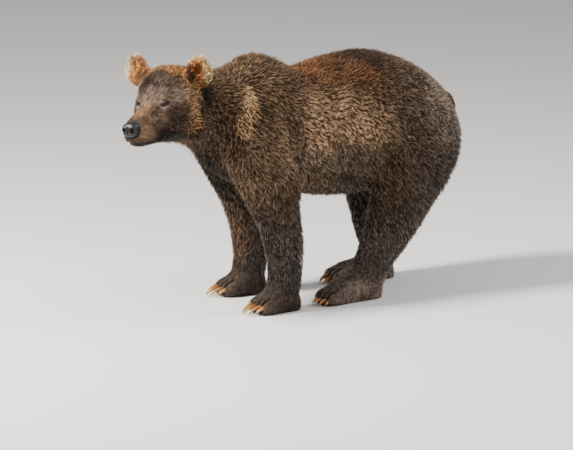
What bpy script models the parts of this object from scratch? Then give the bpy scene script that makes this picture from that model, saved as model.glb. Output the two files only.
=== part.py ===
"""A standing grizzly bear, life size, in metres. +Z is up, the floor is z = 0 and the bear looks towards -Y.

The outline is that of the coat's tips. The body is modelled whole: every mass is a loft of oval rings, the
masses are fused and smoothed, and the fused body is then parted into the pieces a person would name.
"""

import math

import bmesh
import bpy
import numpy as np
from mathutils import Matrix, Vector

# ---------------------------------------------------------------- sizes that several parts share
GAP = 0.0004             # clear space left at each parting cut
FUSE_VOXEL = 0.007       # grain of the fused body before it is simplified
RING_SIDES = 28

HUMP_HEIGHT = 0.960
TRUNK_FRONT = -0.33
TRUNK_REAR = 0.772
FORE_TRACK = 0.165       # half the distance between the front feet
HIND_TRACK = 0.150
FORE_TOE = {"left": -0.190, "right": -0.150}    # y of the tips of the front toes
HIND_TOE = {"left": 0.095, "right": 0.315}

HEAD_AT = Vector((0.060, -0.490, 0.924))        # middle of the line between the ears
HEAD_TURN = math.radians(28)                    # towards the bear's left
HEAD_ROLL = math.radians(4.0)                   # left ear up
EAR_SPREAD = 0.134
EYE_FORWARD = 0.117
EYE_SPREAD = 0.058
EYE_DROP = 0.090
EYE_RADIUS = 0.0125

SIDES = {"left": 1.0, "right": -1.0}

# ---------------------------------------------------------------- scene
for old in list(bpy.data.objects):
    bpy.data.objects.remove(old, do_unlink=True)
bear = bpy.data.collections.new("grizzly_bear")
bpy.context.scene.collection.children.link(bear)
cutters = bpy.data.collections.new("cutters")
cutters.hide_render = True
bpy.context.scene.collection.children.link(cutters)


def material(name, colour, roughness, metallic=0.0):
    made = bpy.data.materials.new(name)
    made.use_nodes = True
    shader = made.node_tree.nodes["Principled BSDF"]
    shader.inputs["Base Color"].default_value = (*colour, 1.0)
    shader.inputs["Roughness"].default_value = roughness
    shader.inputs["Metallic"].default_value = metallic
    made.diffuse_color = (*colour, 1.0)
    return made


COAT_BODY = material("coat_body", (0.105, 0.062, 0.038), 0.75)
COAT_LEGS = material("coat_legs", (0.045, 0.029, 0.020), 0.70)
COAT_HEAD = material("coat_head", (0.150, 0.092, 0.060), 0.75)
COAT_EARS = material("coat_ears", (0.330, 0.180, 0.090), 0.80)
NOSE_SKIN = material("nose_skin", (0.020, 0.019, 0.021), 0.35)
EYE_GLOSS = material("eye_gloss", (0.030, 0.015, 0.008), 0.08)
CLAW_HORN = material("claw_horn", (0.420, 0.270, 0.140), 0.40)


def link(mesh_object, collection=bear):
    collection.objects.link(mesh_object)
    return mesh_object


def object_of(name, bm, collection=bear):
    mesh = bpy.data.meshes.new(name)
    bmesh.ops.recalc_face_normals(bm, faces=bm.faces)
    bm.to_mesh(mesh)
    bm.free()
    return link(bpy.data.objects.new(name, mesh), collection)


# ---------------------------------------------------------------- lofts
def curve_through(rows, steps):
    """Rows of numbers, with Catmull-Rom rows put in between them."""
    rows = np.array(rows, float)
    ends = np.vstack([2 * rows[0] - rows[1], rows, 2 * rows[-1] - rows[-2]])
    out = []
    for a, b, c, d in zip(ends[:-3], ends[1:-2], ends[2:-1], ends[3:]):
        for t in np.arange(steps) / steps:
            bend = (2 * a - 5 * b + 4 * c - d) * t**2 + (3 * b - a - 3 * c + d) * t**3
            out.append(0.5 * (2 * b + (c - a) * t + bend))
    out.append(rows[-1])
    return np.array(out)


def loft(name, rings, across, axis=None, squareness=2.0, steps=3, sides=RING_SIDES, collection=cutters):
    """A closed body through rings (x, y, z, half width, reach ahead, reach behind).

    across is the direction in which the width is measured. Every ring is square to the axis or, where
    none is given, to the path of the middles. The reach ahead goes to the side that axis x across
    points to, and the reach behind goes the other way.
    """
    rows = curve_through(rings, steps)
    points = rows[:, :3]
    along = np.gradient(points, axis=0)
    bm = bmesh.new()
    loops = []
    for row, tangent in zip(rows, along):
        tangent = Vector(axis or tangent).normalized()
        wide = (Vector(across) - Vector(across).dot(tangent) * tangent).normalized()
        ahead = tangent.cross(wide)
        loop = []
        for i in range(sides):
            angle = 2 * math.pi * i / sides
            c, s = math.cos(angle), math.sin(angle)
            c = math.copysign(abs(c) ** (2 / squareness), c)
            s = math.copysign(abs(s) ** (2 / squareness), s)
            reach = row[4] if s > 0 else row[5]
            loop.append(bm.verts.new(Vector(row[:3]) + wide * (c * row[3]) + ahead * (s * reach)))
        loops.append(loop)
    for one, two in zip(loops, loops[1:]):
        for i in range(sides):
            bm.faces.new((one[i], one[(i + 1) % sides], two[(i + 1) % sides], two[i]))
    bm.faces.new(loops[0][::-1])
    bm.faces.new(loops[-1])
    return object_of(name, bm, collection)


def ball(name, centre, radii, turn=None, collection=cutters, segments=20, rings=12):
    """An ellipsoid. turn is a rotation matrix."""
    bm = bmesh.new()
    bmesh.ops.create_uvsphere(bm, u_segments=segments, v_segments=rings, radius=1.0)
    place = Matrix.Translation(centre) @ (turn.to_4x4() if turn else Matrix.Identity(4))
    bmesh.ops.transform(bm, matrix=place @ Matrix.Diagonal((*radii, 1.0)), verts=bm.verts)
    return object_of(name, bm, collection)


def turned(x=0.0, y=0.0, z=0.0):
    """The rotation matrix of three angles in degrees, taken about X, then Y, then Z."""
    spin = Matrix.Rotation(math.radians(z), 3, "Z") @ Matrix.Rotation(math.radians(y), 3, "Y")
    return spin @ Matrix.Rotation(math.radians(x), 3, "X")


masses = []

# ---------------------------------------------------------------- trunk, from the chest to the rump
# y, height of the widest point, half width, top, bottom
TRUNK = (
    (TRUNK_FRONT, 0.690, 0.070, 0.790, 0.600),
    (-0.270, 0.700, 0.145, 0.886, 0.540),
    (-0.180, 0.690, 0.182, 0.922, 0.475),
    (-0.100, 0.670, 0.200, HUMP_HEIGHT, 0.445),
    (-0.020, 0.660, 0.212, 0.936, 0.428),
    (0.070, 0.650, 0.222, 0.884, 0.414),
    (0.140, 0.640, 0.228, 0.896, 0.400),
    (0.210, 0.640, 0.231, 0.914, 0.390),
    (0.320, 0.645, 0.230, 0.928, 0.392),
    (0.400, 0.655, 0.222, 0.929, 0.414),
    (0.500, 0.660, 0.210, 0.902, 0.450),
    (0.600, 0.650, 0.190, 0.855, 0.480),
    (0.680, 0.625, 0.155, 0.795, 0.490),
    (0.735, 0.610, 0.110, 0.730, 0.500),
    (TRUNK_REAR, 0.605, 0.040, 0.650, 0.555),
)
masses.append(
    loft(
        "trunk_mass",
        [(0.0, y, mid, wide, top - mid, mid - low) for y, mid, wide, top, low in TRUNK],
        across=(-1, 0, 0),
        axis=(0, 1, 0),
        squareness=2.25,
    )
)

# ---------------------------------------------------------------- neck
NECK = (
    (0.000, -0.160, 0.730, 0.178, 0.180, 0.190),
    (0.006, -0.240, 0.750, 0.168, 0.160, 0.172),
    (0.020, -0.320, 0.775, 0.150, 0.148, 0.154),
    (0.036, -0.400, 0.800, 0.132, 0.142, 0.142),
    (0.058, -0.465, 0.805, 0.128, 0.138, 0.135),
    (0.085, -0.530, 0.800, 0.105, 0.112, 0.110),
)
masses.append(loft("neck_mass", NECK, across=(1, 0, 0), squareness=2.1))

# ---------------------------------------------------------------- head
TO_HEAD = (
    Matrix.Translation(HEAD_AT)
    @ Matrix.Rotation(HEAD_TURN, 4, "Z")
    @ Matrix.Rotation(HEAD_ROLL, 4, Vector((0, 1, 0)) * -1)
)


def in_head(forward, left, up):
    """The world place of a point given in the head's own directions."""
    return TO_HEAD @ Vector((left, -forward, up))


HEAD_TURNED = TO_HEAD.to_3x3()

# forward, height of the widest point, half width, top, bottom, all from the line between the ears
SKULL = (
    (-0.115, -0.100, 0.070, -0.015, -0.190),
    (-0.080, -0.100, 0.110, 0.016, -0.225),
    (-0.030, -0.105, 0.133, 0.034, -0.245),
    (0.020, -0.118, 0.131, 0.034, -0.248),
    (0.060, -0.125, 0.109, 0.012, -0.244),
    (0.085, -0.130, 0.093, -0.016, -0.240),
    (0.105, -0.136, 0.079, -0.040, -0.236),
    (0.120, -0.142, 0.066, -0.062, -0.230),
    (0.132, -0.150, 0.052, -0.080, -0.224),
)
MUZZLE = (
    (0.060, -0.160, 0.075, -0.050, -0.238),
    (0.110, -0.165, 0.062, -0.064, -0.239),
    (0.150, -0.168, 0.052, -0.086, -0.239),
    (0.190, -0.172, 0.047, -0.106, -0.239),
    (0.225, -0.175, 0.045, -0.120, -0.237),
    (0.250, -0.176, 0.041, -0.130, -0.230),
    (0.268, -0.176, 0.035, -0.139, -0.218),
    (0.278, -0.176, 0.024, -0.150, -0.203),
)


def head_loft(name, rows, squareness):
    rings = []
    for forward, mid, wide, top, low in rows:
        rings.append((*in_head(forward, 0.0, mid), wide, top - mid, mid - low))
    return loft(name, rings, HEAD_TURNED @ Vector((1, 0, 0)), HEAD_TURNED @ Vector((0, -1, 0)), squareness)


masses.append(head_loft("skull_mass", SKULL, 2.1))
masses.append(head_loft("muzzle_mass", MUZZLE, 2.4))
for side, sign in SIDES.items():
    cheek = in_head(0.015, sign * 0.078, -0.145)
    masses.append(ball("cheek_mass", cheek, (0.058, 0.075, 0.080), HEAD_TURNED))
    ruff = in_head(-0.020, sign * 0.092, -0.176)
    masses.append(ball("ruff_mass", ruff, (0.052, 0.070, 0.085), HEAD_TURNED))
    brow = in_head(0.080, sign * 0.044, -0.050)
    masses.append(ball("brow_mass", brow, (0.036, 0.034, 0.030), HEAD_TURNED))

# ---------------------------------------------------------------- legs
# Rings of a leg are level cuts: x, y, z, half width, reach ahead, reach behind.


def fore_leg(side):
    sign = SIDES[side]
    toe = FORE_TOE[side]
    shift = toe - FORE_TOE["left"]
    x = FORE_TRACK
    rings = (
        (sign * 0.105, -0.130, 0.850, 0.060, 0.070, 0.090),
        (sign * 0.130, -0.150, 0.760, 0.080, 0.120, 0.130),
        (sign * 0.146, -0.165, 0.660, 0.088, 0.116, 0.145),
        (sign * (x - 0.008), -0.155 + shift * 0.7, 0.570, 0.088, 0.118, 0.142),
        (sign * x, -0.122 + shift, 0.480, 0.083, 0.108, 0.118),
        (sign * x, -0.098 + shift, 0.410, 0.076, 0.094, 0.102),
        (sign * x, -0.075 + shift, 0.330, 0.069, 0.086, 0.094),
        (sign * x, -0.058 + shift, 0.250, 0.063, 0.078, 0.086),
        (sign * x, -0.052 + shift, 0.170, 0.058, 0.071, 0.074),
        (sign * x, -0.052 + shift, 0.110, 0.058, 0.068, 0.068),
        (sign * x, -0.060 + shift, 0.060, 0.060, 0.068, 0.060),
        (sign * x, -0.065 + shift, 0.020, 0.055, 0.060, 0.058),
    )
    masses.append(loft("fore_leg_mass", rings, across=(1, 0, 0), axis=(0, 0, -1), squareness=2.1))
    elbow = (sign * (x + 0.008), -0.026 + shift * 0.7, 0.450)
    masses.append(ball("elbow_mass", elbow, (0.055, 0.040, 0.065), turned(x=-12)))


def hind_leg(side):
    sign = SIDES[side]
    shift = HIND_TOE[side] - HIND_TOE["left"]
    x = HIND_TRACK
    rings = (
        (sign * 0.090, 0.530, 0.770, 0.060, 0.070, 0.080),
        (sign * 0.118, 0.560, 0.700, 0.096, 0.150, 0.150),
        (sign * 0.138, 0.572 + shift * 0.02, 0.600, 0.100, 0.168, 0.158),
        (sign * (x + 0.004), 0.545 + shift * 0.08, 0.510, 0.098, 0.168, 0.160),
        (sign * (x + 0.008), 0.507 + shift * 0.22, 0.430, 0.090, 0.152, 0.152),
        (sign * (x + 0.006), 0.462 + shift * 0.33, 0.350, 0.080, 0.132, 0.136),
        (sign * (x + 0.004), 0.418 + shift * 0.55, 0.260, 0.071, 0.116, 0.121),
        (sign * x, 0.372 + shift * 0.78, 0.180, 0.063, 0.100, 0.106),
        (sign * x, 0.335 + shift, 0.115, 0.057, 0.086, 0.078),
        (sign * x, 0.322 + shift, 0.060, 0.053, 0.082, 0.060),
        (sign * x, 0.318 + shift, 0.020, 0.048, 0.070, 0.052),
    )
    masses.append(loft("hind_leg_mass", rings, across=(1, 0, 0), axis=(0, 0, -1), squareness=2.1))
    stifle = (sign * (x + 0.010), 0.430 + shift * 0.14, 0.470)
    masses.append(ball("stifle_mass", stifle, (0.072, 0.085, 0.120), turned(x=-20)))


TOE_SPREAD = (-0.048, -0.026, 0.0, 0.026, 0.048)
TOE_BACK = (0.024, 0.008, 0.0, 0.006, 0.026)
TOE_RADIUS = 0.0185
toe_places = {}


def paw(limb, side, toe_line, length, heel_wide, tread_wide, instep, toe_out):
    """A flat-soled foot: a low loft from heel to tread, and five toes in an arc ahead of it."""
    sign = SIDES[side]
    x = sign * (FORE_TRACK if limb == "fore" else HIND_TRACK)
    turn = Matrix.Rotation(math.radians(toe_out * sign), 4, "Z")
    place = Matrix.Translation((x, toe_line + length / 2, 0)) @ turn
    rings = []
    for share, wide, high in (
        (0.00, heel_wide * 0.55, 0.045),
        (0.10, heel_wide * 0.92, 0.068),
        (0.30, heel_wide, instep),
        (0.55, (heel_wide + tread_wide) / 2, instep * 0.92),
        (0.76, tread_wide, 0.072),
        (0.90, tread_wide * 0.95, 0.055),
        (0.96, tread_wide * 0.80, 0.042),
    ):
        spot = place @ Vector((0, length / 2 - share * length, 0.030))
        rings.append((*spot, wide, high - 0.030, 0.036))
    across = turn.to_3x3() @ Vector((1, 0, 0))
    masses.append(loft("paw_mass", rings, across=across, squareness=2.5))
    scale = tread_wide / 0.066
    for number, (spread, back) in enumerate(zip(TOE_SPREAD, TOE_BACK), start=1):
        inward = -sign * spread * scale        # toe 1 is the inner one
        lean = turn @ Matrix.Rotation(-inward * 3.0, 4, "Z")
        spot = place @ Vector((inward, -length / 2 + 0.026 + back, TOE_RADIUS + 0.004))
        radii = (TOE_RADIUS * 0.86 * scale, 0.029, TOE_RADIUS * 1.12)
        masses.append(ball("toe_mass", spot, radii, lean.to_3x3()))
        toe_places[(limb, side, number)] = (spot, lean)


for side in SIDES:
    fore_leg(side)
    hind_leg(side)
    paw("fore", side, FORE_TOE[side], 0.198, 0.058, 0.066, 0.100, 5.0)
    paw("hind", side, HIND_TOE[side], 0.285, 0.048, 0.060, 0.095, 6.0)


# ---------------------------------------------------------------- fusing the body
def apply_modifiers(thing):
    graph = bpy.context.evaluated_depsgraph_get()
    graph.update()
    made = bpy.data.meshes.new_from_object(thing.evaluated_get(graph))
    thing.modifiers.clear()
    old = thing.data
    thing.data = made
    bpy.data.meshes.remove(old)
    return thing


def smoothed(thing, rounds, group=""):
    smooth = thing.modifiers.new("smooth", "SMOOTH")
    smooth.factor = 0.5
    smooth.iterations = rounds
    smooth.vertex_group = group
    return apply_modifiers(thing)


def fused(name, pieces, voxel):
    """One closed skin round all the pieces."""
    bm = bmesh.new()
    for piece in pieces:
        bm.from_mesh(piece.data)
        bpy.data.objects.remove(piece, do_unlink=True)
    whole = object_of(name, bm)
    remesh = whole.modifiers.new("fuse", "REMESH")
    remesh.mode = "VOXEL"
    remesh.voxel_size = voxel
    return smoothed(apply_modifiers(whole), 4)


def as_cutter(name, bm):
    cutter = object_of(name, bm, cutters)
    cutter.hide_render = True
    cutter.display_type = "WIRE"
    return cutter


def box_cutter(centre, size, turn=None, grow=0.0):
    bm = bmesh.new()
    bmesh.ops.create_cube(bm, size=1.0)
    scale = Matrix.Diagonal((size[0] + 2 * grow, size[1] + 2 * grow, size[2] + 2 * grow, 1.0))
    place = Matrix.Translation(centre) @ (turn.to_4x4() if turn else Matrix.Identity(4))
    bmesh.ops.transform(bm, matrix=place @ scale, verts=bm.verts)
    return as_cutter("box_cutter", bm)


def side_cutter(outline, near, far, grow=0.0):
    """A slab whose side view is the outline of (y, z) corners, from x = near to x = far."""
    corners = [Vector(corner) for corner in outline]
    bm = bmesh.new()
    ends = [[], []]
    for before, corner, after in zip(corners[-1:] + corners, corners, corners[1:] + corners[:1]):
        one = (corner - before).normalized()
        two = (after - corner).normalized()
        outward = Vector((one.y + two.y, -one.x - two.x)) / (1 + one.dot(two))
        spot = corner + outward * grow
        for loop, x in zip(ends, (min(near, far) - grow, max(near, far) + grow)):
            loop.append(bm.verts.new((x, spot.x, spot.y)))
    bm.faces.new(ends[0])
    bm.faces.new(ends[1])
    for i in range(len(corners)):
        j = (i + 1) % len(corners)
        bm.faces.new((ends[0][i], ends[0][j], ends[1][j], ends[1][i]))
    return as_cutter("side_cutter", bm)


def boolean(thing, cutter, operation, solver="EXACT"):
    step = thing.modifiers.new(operation.lower(), "BOOLEAN")
    step.operation = operation
    step.solver = solver
    step.object = cutter
    return apply_modifiers(thing)


cuts = []


def parted(whole, name, cutter, *shape):
    """Cuts the cutter's share out of the whole as a new piece, and leaves a thin gap between the two.

    EXACT leaves slivers open on the dense, rounded mesh of the fused body, so these cuts use MANIFOLD.
    """
    piece = link(bpy.data.objects.new(name, whole.data.copy()))
    inner = cutter(*shape)
    outer = cutter(*shape, grow=GAP)
    boolean(piece, inner, "INTERSECT", "MANIFOLD")
    boolean(whole, outer, "DIFFERENCE", "MANIFOLD")
    for used in (inner, outer):
        bpy.data.objects.remove(used, do_unlink=True)
    cuts.append((piece, whole, cutter, shape))
    return piece


def trimmed(piece, whole, cutter, shape):
    """Takes off what simplifying has pushed into the gap between two pieces."""
    inner = cutter(*shape, grow=0.25 * GAP)
    outer = cutter(*shape, grow=0.60 * GAP)
    boolean(piece, inner, "INTERSECT", "MANIFOLD")
    boolean(whole, outer, "DIFFERENCE", "MANIFOLD")
    for used in (inner, outer):
        bpy.data.objects.remove(used, do_unlink=True)


body = fused("trunk", masses, FUSE_VOXEL)

# The head and the feet keep their small shapes. Elsewhere the masses run into one another softly.
soft = body.vertex_groups.new(name="soft")
for vertex in body.data.vertices:
    above_foot = min(1.0, max(0.0, (vertex.co.z - 0.09) / 0.06))
    behind_face = min(1.0, max(0.0, (vertex.co.y + 0.52) / 0.10))
    soft.add([vertex.index], above_foot * behind_face, "REPLACE")
smoothed(body, 30, soft.name)
body.vertex_groups.clear()

floor = box_cutter((0, 0, -0.25), (3, 3, 0.5))
boolean(body, floor, "DIFFERENCE")
bpy.data.objects.remove(floor, do_unlink=True)

# ---------------------------------------------------------------- parting the body
head = parted(body, "head", box_cutter, in_head(0.225, 0.0, -0.05), (0.70, 0.58, 0.50), HEAD_TURNED)
jaw_tilt = HEAD_TURNED @ turned(x=-2.0)
lower_jaw = parted(head, "lower_jaw", box_cutter, in_head(0.200, 0.0, -0.321), (0.20, 0.26, 0.20), jaw_tilt)
neck = parted(body, "neck", box_cutter, (0.0, -0.475, 0.780), (0.60, 0.40, 0.60), turned(x=17))


def level_band(front, back, low, high):
    return ((front, low), (back, low), (back, high), (front, high))


ANKLE = 0.085
KNEE = 0.360
ELBOW_TOP = ((-0.42, KNEE), (0.14, KNEE), (0.12, 0.470), (-0.42, 0.540))
THIGH = ((0.250, KNEE), (0.950, KNEE), (0.950, 0.610), (0.440, 0.690), (0.262, 0.420))
limbs = {}
for side, sign in SIDES.items():
    inner, outer = sign * 0.045, sign * 0.320
    fore = FORE_TOE[side]
    hind = HIND_TOE[side]
    bands = {
        "fore_paw_": level_band(fore - 0.060, fore + 0.260, -0.050, ANKLE),
        "hind_paw_": level_band(hind - 0.040, hind + 0.340, -0.050, ANKLE),
        "forearm_": level_band(-0.360, 0.120, ANKLE, KNEE),
        "shank_": level_band(0.125, 0.950, ANKLE, KNEE),
        "upper_arm_": ELBOW_TOP,
        "thigh_": THIGH,
    }
    for name, outline in bands.items():
        limbs[name + side] = parted(body, name + side, side_cutter, outline, inner, outer)

# Triangles that each piece keeps. The head and the feet have the smallest shapes.
KEPT = {
    "trunk": 1300,
    "neck": 400,
    "head": 950,
    "lower_jaw": 140,
    "fore_paw": 340,
    "hind_paw": 320,
    "forearm": 200,
    "shank": 220,
    "upper_arm": 200,
    "thigh": 260,
}


def is_closed(mesh):
    bm = bmesh.new()
    bm.from_mesh(mesh)
    closed = all(edge.is_manifold for edge in bm.edges) and all(vert.is_manifold for vert in bm.verts)
    bm.free()
    return closed


def simplified(thing, triangles):
    """Keeps about so many triangles. Slivers along a cut can pinch the result, so they are merged first,
    a little more boldly each time, until the result is closed.
    """
    full = thing.data
    for sliver in (0.0, 0.0002, 0.0004, 0.0008, 0.0012, 0.0016):
        bm = bmesh.new()
        bm.from_mesh(full)
        bmesh.ops.dissolve_degenerate(bm, dist=sliver, edges=bm.edges)
        bmesh.ops.triangulate(bm, faces=bm.faces)
        thing.data = bpy.data.meshes.new(thing.name)
        bm.to_mesh(thing.data)
        bm.free()
        simplify = thing.modifiers.new("simplify", "DECIMATE")
        simplify.ratio = triangles / len(thing.data.polygons)
        apply_modifiers(thing)
        if is_closed(thing.data):
            break
    bpy.data.meshes.remove(full)


for thing in list(bear.objects):
    simplified(thing, KEPT[thing.name.removesuffix("_left").removesuffix("_right")])
for cut in cuts:
    trimmed(*cut)


# ---------------------------------------------------------------- pieces set into the body
def seated(piece, host):
    """Opens a socket for the piece in its host, wider than the piece by the gap."""
    cutter = link(bpy.data.objects.new("socket_" + piece.name, piece.data.copy()), cutters)
    grow = cutter.modifiers.new("grow", "DISPLACE")
    grow.strength = GAP
    grow.mid_level = 0.0
    apply_modifiers(cutter)
    boolean(host, cutter, "DIFFERENCE")
    bpy.data.objects.remove(cutter, do_unlink=True)
    return piece


for side, sign in SIDES.items():
    socket = ball(
        "eye_hollow",
        in_head(EYE_FORWARD + 0.012, sign * (EYE_SPREAD + 0.004), -EYE_DROP),
        (0.016, 0.012, 0.009),
        HEAD_TURNED @ turned(z=sign * 38),
        segments=12,
        rings=8,
    )
    boolean(head, socket, "DIFFERENCE")
    bpy.data.objects.remove(socket, do_unlink=True)
    eye = ball(
        "eye_" + side,
        in_head(EYE_FORWARD - 0.002, sign * EYE_SPREAD, -EYE_DROP),
        (EYE_RADIUS, EYE_RADIUS, EYE_RADIUS),
        HEAD_TURNED @ turned(z=sign * 38),
        collection=bear,
        segments=12,
        rings=8,
    )
    seated(eye, head)

# forward, half width, top, bottom of the bare nose
NOSE = (
    (0.236, 0.020, -0.146, -0.184),
    (0.250, 0.031, -0.137, -0.194),
    (0.266, 0.032, -0.137, -0.195),
    (0.280, 0.029, -0.141, -0.192),
    (0.288, 0.020, -0.151, -0.182),
)
nose_rings = []
for forward, wide, top, low in NOSE:
    nose_rings.append((*in_head(forward, 0.0, (top + low) / 2), wide, (top - low) / 2, (top - low) / 2))
nose_axes = (HEAD_TURNED @ Vector((1, 0, 0)), HEAD_TURNED @ Vector((0, -1, 0)))
nose = loft("nose", nose_rings, *nose_axes, squareness=2.5, steps=2, sides=16, collection=bear)
seated(nose, head)

EAR_HALF = (0.046, 0.024, 0.058)
EAR_FACES = {"left": 30, "right": 8}        # degrees outwards from straight ahead
for side, sign in SIDES.items():
    pose = HEAD_TURNED @ turned(z=sign * EAR_FACES[side]) @ turned(x=-8, y=sign * 10)
    middle = in_head(-0.002, sign * EAR_SPREAD, 0.006)
    ear = ball("ear_" + side, middle, EAR_HALF, pose, collection=bear, segments=14, rings=9)
    seated(ear, head)
    mouth = middle + pose @ Vector((0, -0.034, 0.004))
    hollow = ball("ear_hollow", mouth, (0.031, 0.034, 0.041), pose, segments=12, rings=8)
    boolean(ear, hollow, "DIFFERENCE")
    bpy.data.objects.remove(hollow, do_unlink=True)

TAIL = (
    (0.0, 0.690, 0.730, 0.020, 0.016, 0.016),
    (0.0, 0.742, 0.722, 0.032, 0.020, 0.022),
    (0.0, 0.772, 0.690, 0.030, 0.018, 0.020),
    (0.0, 0.785, 0.650, 0.022, 0.013, 0.015),
    (0.0, 0.787, 0.628, 0.008, 0.006, 0.006),
)
tail = loft("tail", TAIL, (1, 0, 0), steps=2, sides=12, collection=bear)
seated(tail, body)

# reach ahead of the toe's middle, height, half width, half height of a claw
CLAWS = {
    "fore": (
        (0.012, 0.028, 0.0055, 0.0070),
        (0.040, 0.030, 0.0048, 0.0058),
        (0.060, 0.018, 0.0032, 0.0038),
        (0.072, 0.004, 0.0008, 0.0009),
    ),
    "hind": (
        (0.012, 0.022, 0.0050, 0.0060),
        (0.029, 0.022, 0.0042, 0.0050),
        (0.041, 0.013, 0.0026, 0.0030),
        (0.047, 0.004, 0.0008, 0.0009),
    ),
}
for (limb, side, number), (spot, lean) in toe_places.items():
    rings = []
    for reach, height, wide, deep in CLAWS[limb]:
        place = spot + lean @ Vector((0, -reach, 0))
        rings.append((place.x, place.y, height, wide, deep, deep))
    across = lean @ Vector((1, 0, 0))
    name = f"claw_{limb}_{side}_{number}"
    claw = loft(name, rings, across, steps=1, sides=6, collection=bear)
    seated(claw, limbs[f"{limb}_paw_{side}"])

# ---------------------------------------------------------------- materials
for thing in bear.objects:
    kind = thing.name.split("_")[0]
    if kind == "eye":
        surface = EYE_GLOSS
    elif kind == "nose":
        surface = NOSE_SKIN
    elif kind == "claw":
        surface = CLAW_HORN
    elif kind == "ear":
        surface = COAT_EARS
    elif thing.name in ("head", "lower_jaw"):
        surface = COAT_HEAD
    elif thing.name in limbs:
        surface = COAT_LEGS
    else:
        surface = COAT_BODY
    thing.data.materials.clear()
    thing.data.materials.append(surface)

# ---------------------------------------------------------------- the frame's origin
low = np.min([np.min([v.co[:] for v in thing.data.vertices], axis=0) for thing in bear.objects], axis=0)
high = np.max([np.max([v.co[:] for v in thing.data.vertices], axis=0) for thing in bear.objects], axis=0)
to_origin = Matrix.Translation((-(low[0] + high[0]) / 2, -(low[1] + high[1]) / 2, 0.0))
for thing in bear.objects:
    thing.data.transform(to_origin)
print("moved by", [round(value, 4) for value in to_origin.translation])
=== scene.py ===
# %% [markdown]
# # Dressing a standing grizzly bear
# The frame holds the bear's solids at their real size, out to the tips of the coat. This lesson puts
# a skin inside them, grows the coat on the skin as thousands of small solid locks, and makes the eyes,
# the nose and the claws. Hair curves would be the usual way to grow a coat in Blender. Solid locks are
# chosen here, because they are plain meshes that any other program can read.

# %% Load the frame
import math

import bmesh
import bpy
import numpy as np
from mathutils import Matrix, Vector
from mathutils.bvhtree import BVHTree
from mathutils.kdtree import KDTree


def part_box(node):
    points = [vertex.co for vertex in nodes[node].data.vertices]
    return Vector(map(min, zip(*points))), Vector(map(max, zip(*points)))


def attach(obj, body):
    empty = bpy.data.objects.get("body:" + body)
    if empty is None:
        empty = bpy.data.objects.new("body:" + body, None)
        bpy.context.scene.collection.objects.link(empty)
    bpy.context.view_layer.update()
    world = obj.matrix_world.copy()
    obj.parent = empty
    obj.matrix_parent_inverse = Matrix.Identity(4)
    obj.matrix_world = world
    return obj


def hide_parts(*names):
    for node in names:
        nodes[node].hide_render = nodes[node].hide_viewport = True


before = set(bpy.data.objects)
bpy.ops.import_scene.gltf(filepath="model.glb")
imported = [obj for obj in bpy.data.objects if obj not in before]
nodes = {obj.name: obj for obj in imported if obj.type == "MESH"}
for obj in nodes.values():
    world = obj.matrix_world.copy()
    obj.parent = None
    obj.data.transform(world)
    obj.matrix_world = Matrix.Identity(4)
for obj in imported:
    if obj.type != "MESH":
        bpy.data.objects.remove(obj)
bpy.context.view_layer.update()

rng = np.random.default_rng(11)
SIDES = {"left": 1.0, "right": -1.0}

# %% [markdown]
# ## The head's own directions
# A bear's face is easiest to describe from the face itself. The line between the eyes gives the
# direction to the bear's left, and the other two directions follow from it. Every place on the head is
# then written as metres forward, left and up from the middle of that line, however the head is turned.


# %% Find the head's directions
def middle(name):
    low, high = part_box(name)
    return (low + high) / 2


eye_at = {side: middle("eye_" + side) for side in SIDES}
eye_radius = float(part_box("eye_left")[1].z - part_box("eye_left")[0].z) / 2
head_left = (eye_at["left"] - eye_at["right"]).normalized()
head_forward = Vector((head_left.y, -head_left.x, 0.0)).normalized()
head_up = head_forward.cross(head_left)
head_origin = np.array((eye_at["left"] + eye_at["right"]) / 2)
head_axes = np.array([head_forward, head_left, head_up])


def to_head(points):
    """World points as (forward, left, up) from the middle of the eyes' line."""
    return (np.asarray(points) - head_origin) @ head_axes.T


def from_head(points):
    return np.asarray(points) @ head_axes + head_origin


print("eyes", round((eye_at["left"] - eye_at["right"]).length * 1000), "mm apart, radius",
      round(eye_radius * 1000, 1), "mm; nose at", np.round(to_head(middle("nose")), 3))

# %% [markdown]
# ## A map of the coat
# On a real bear the coat changes from place to place: a few millimetres on the muzzle, short on the
# feet, and long over the shoulder hump and the neck. It also lies in a known direction everywhere,
# back from the nose and down the legs. Both are written once, as a short list of combed places. Each
# says where it is, which way the hair lies, how long the locks are and how far the coat stands off
# the skin. Anything between two places is blended from the ones near it.

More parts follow.
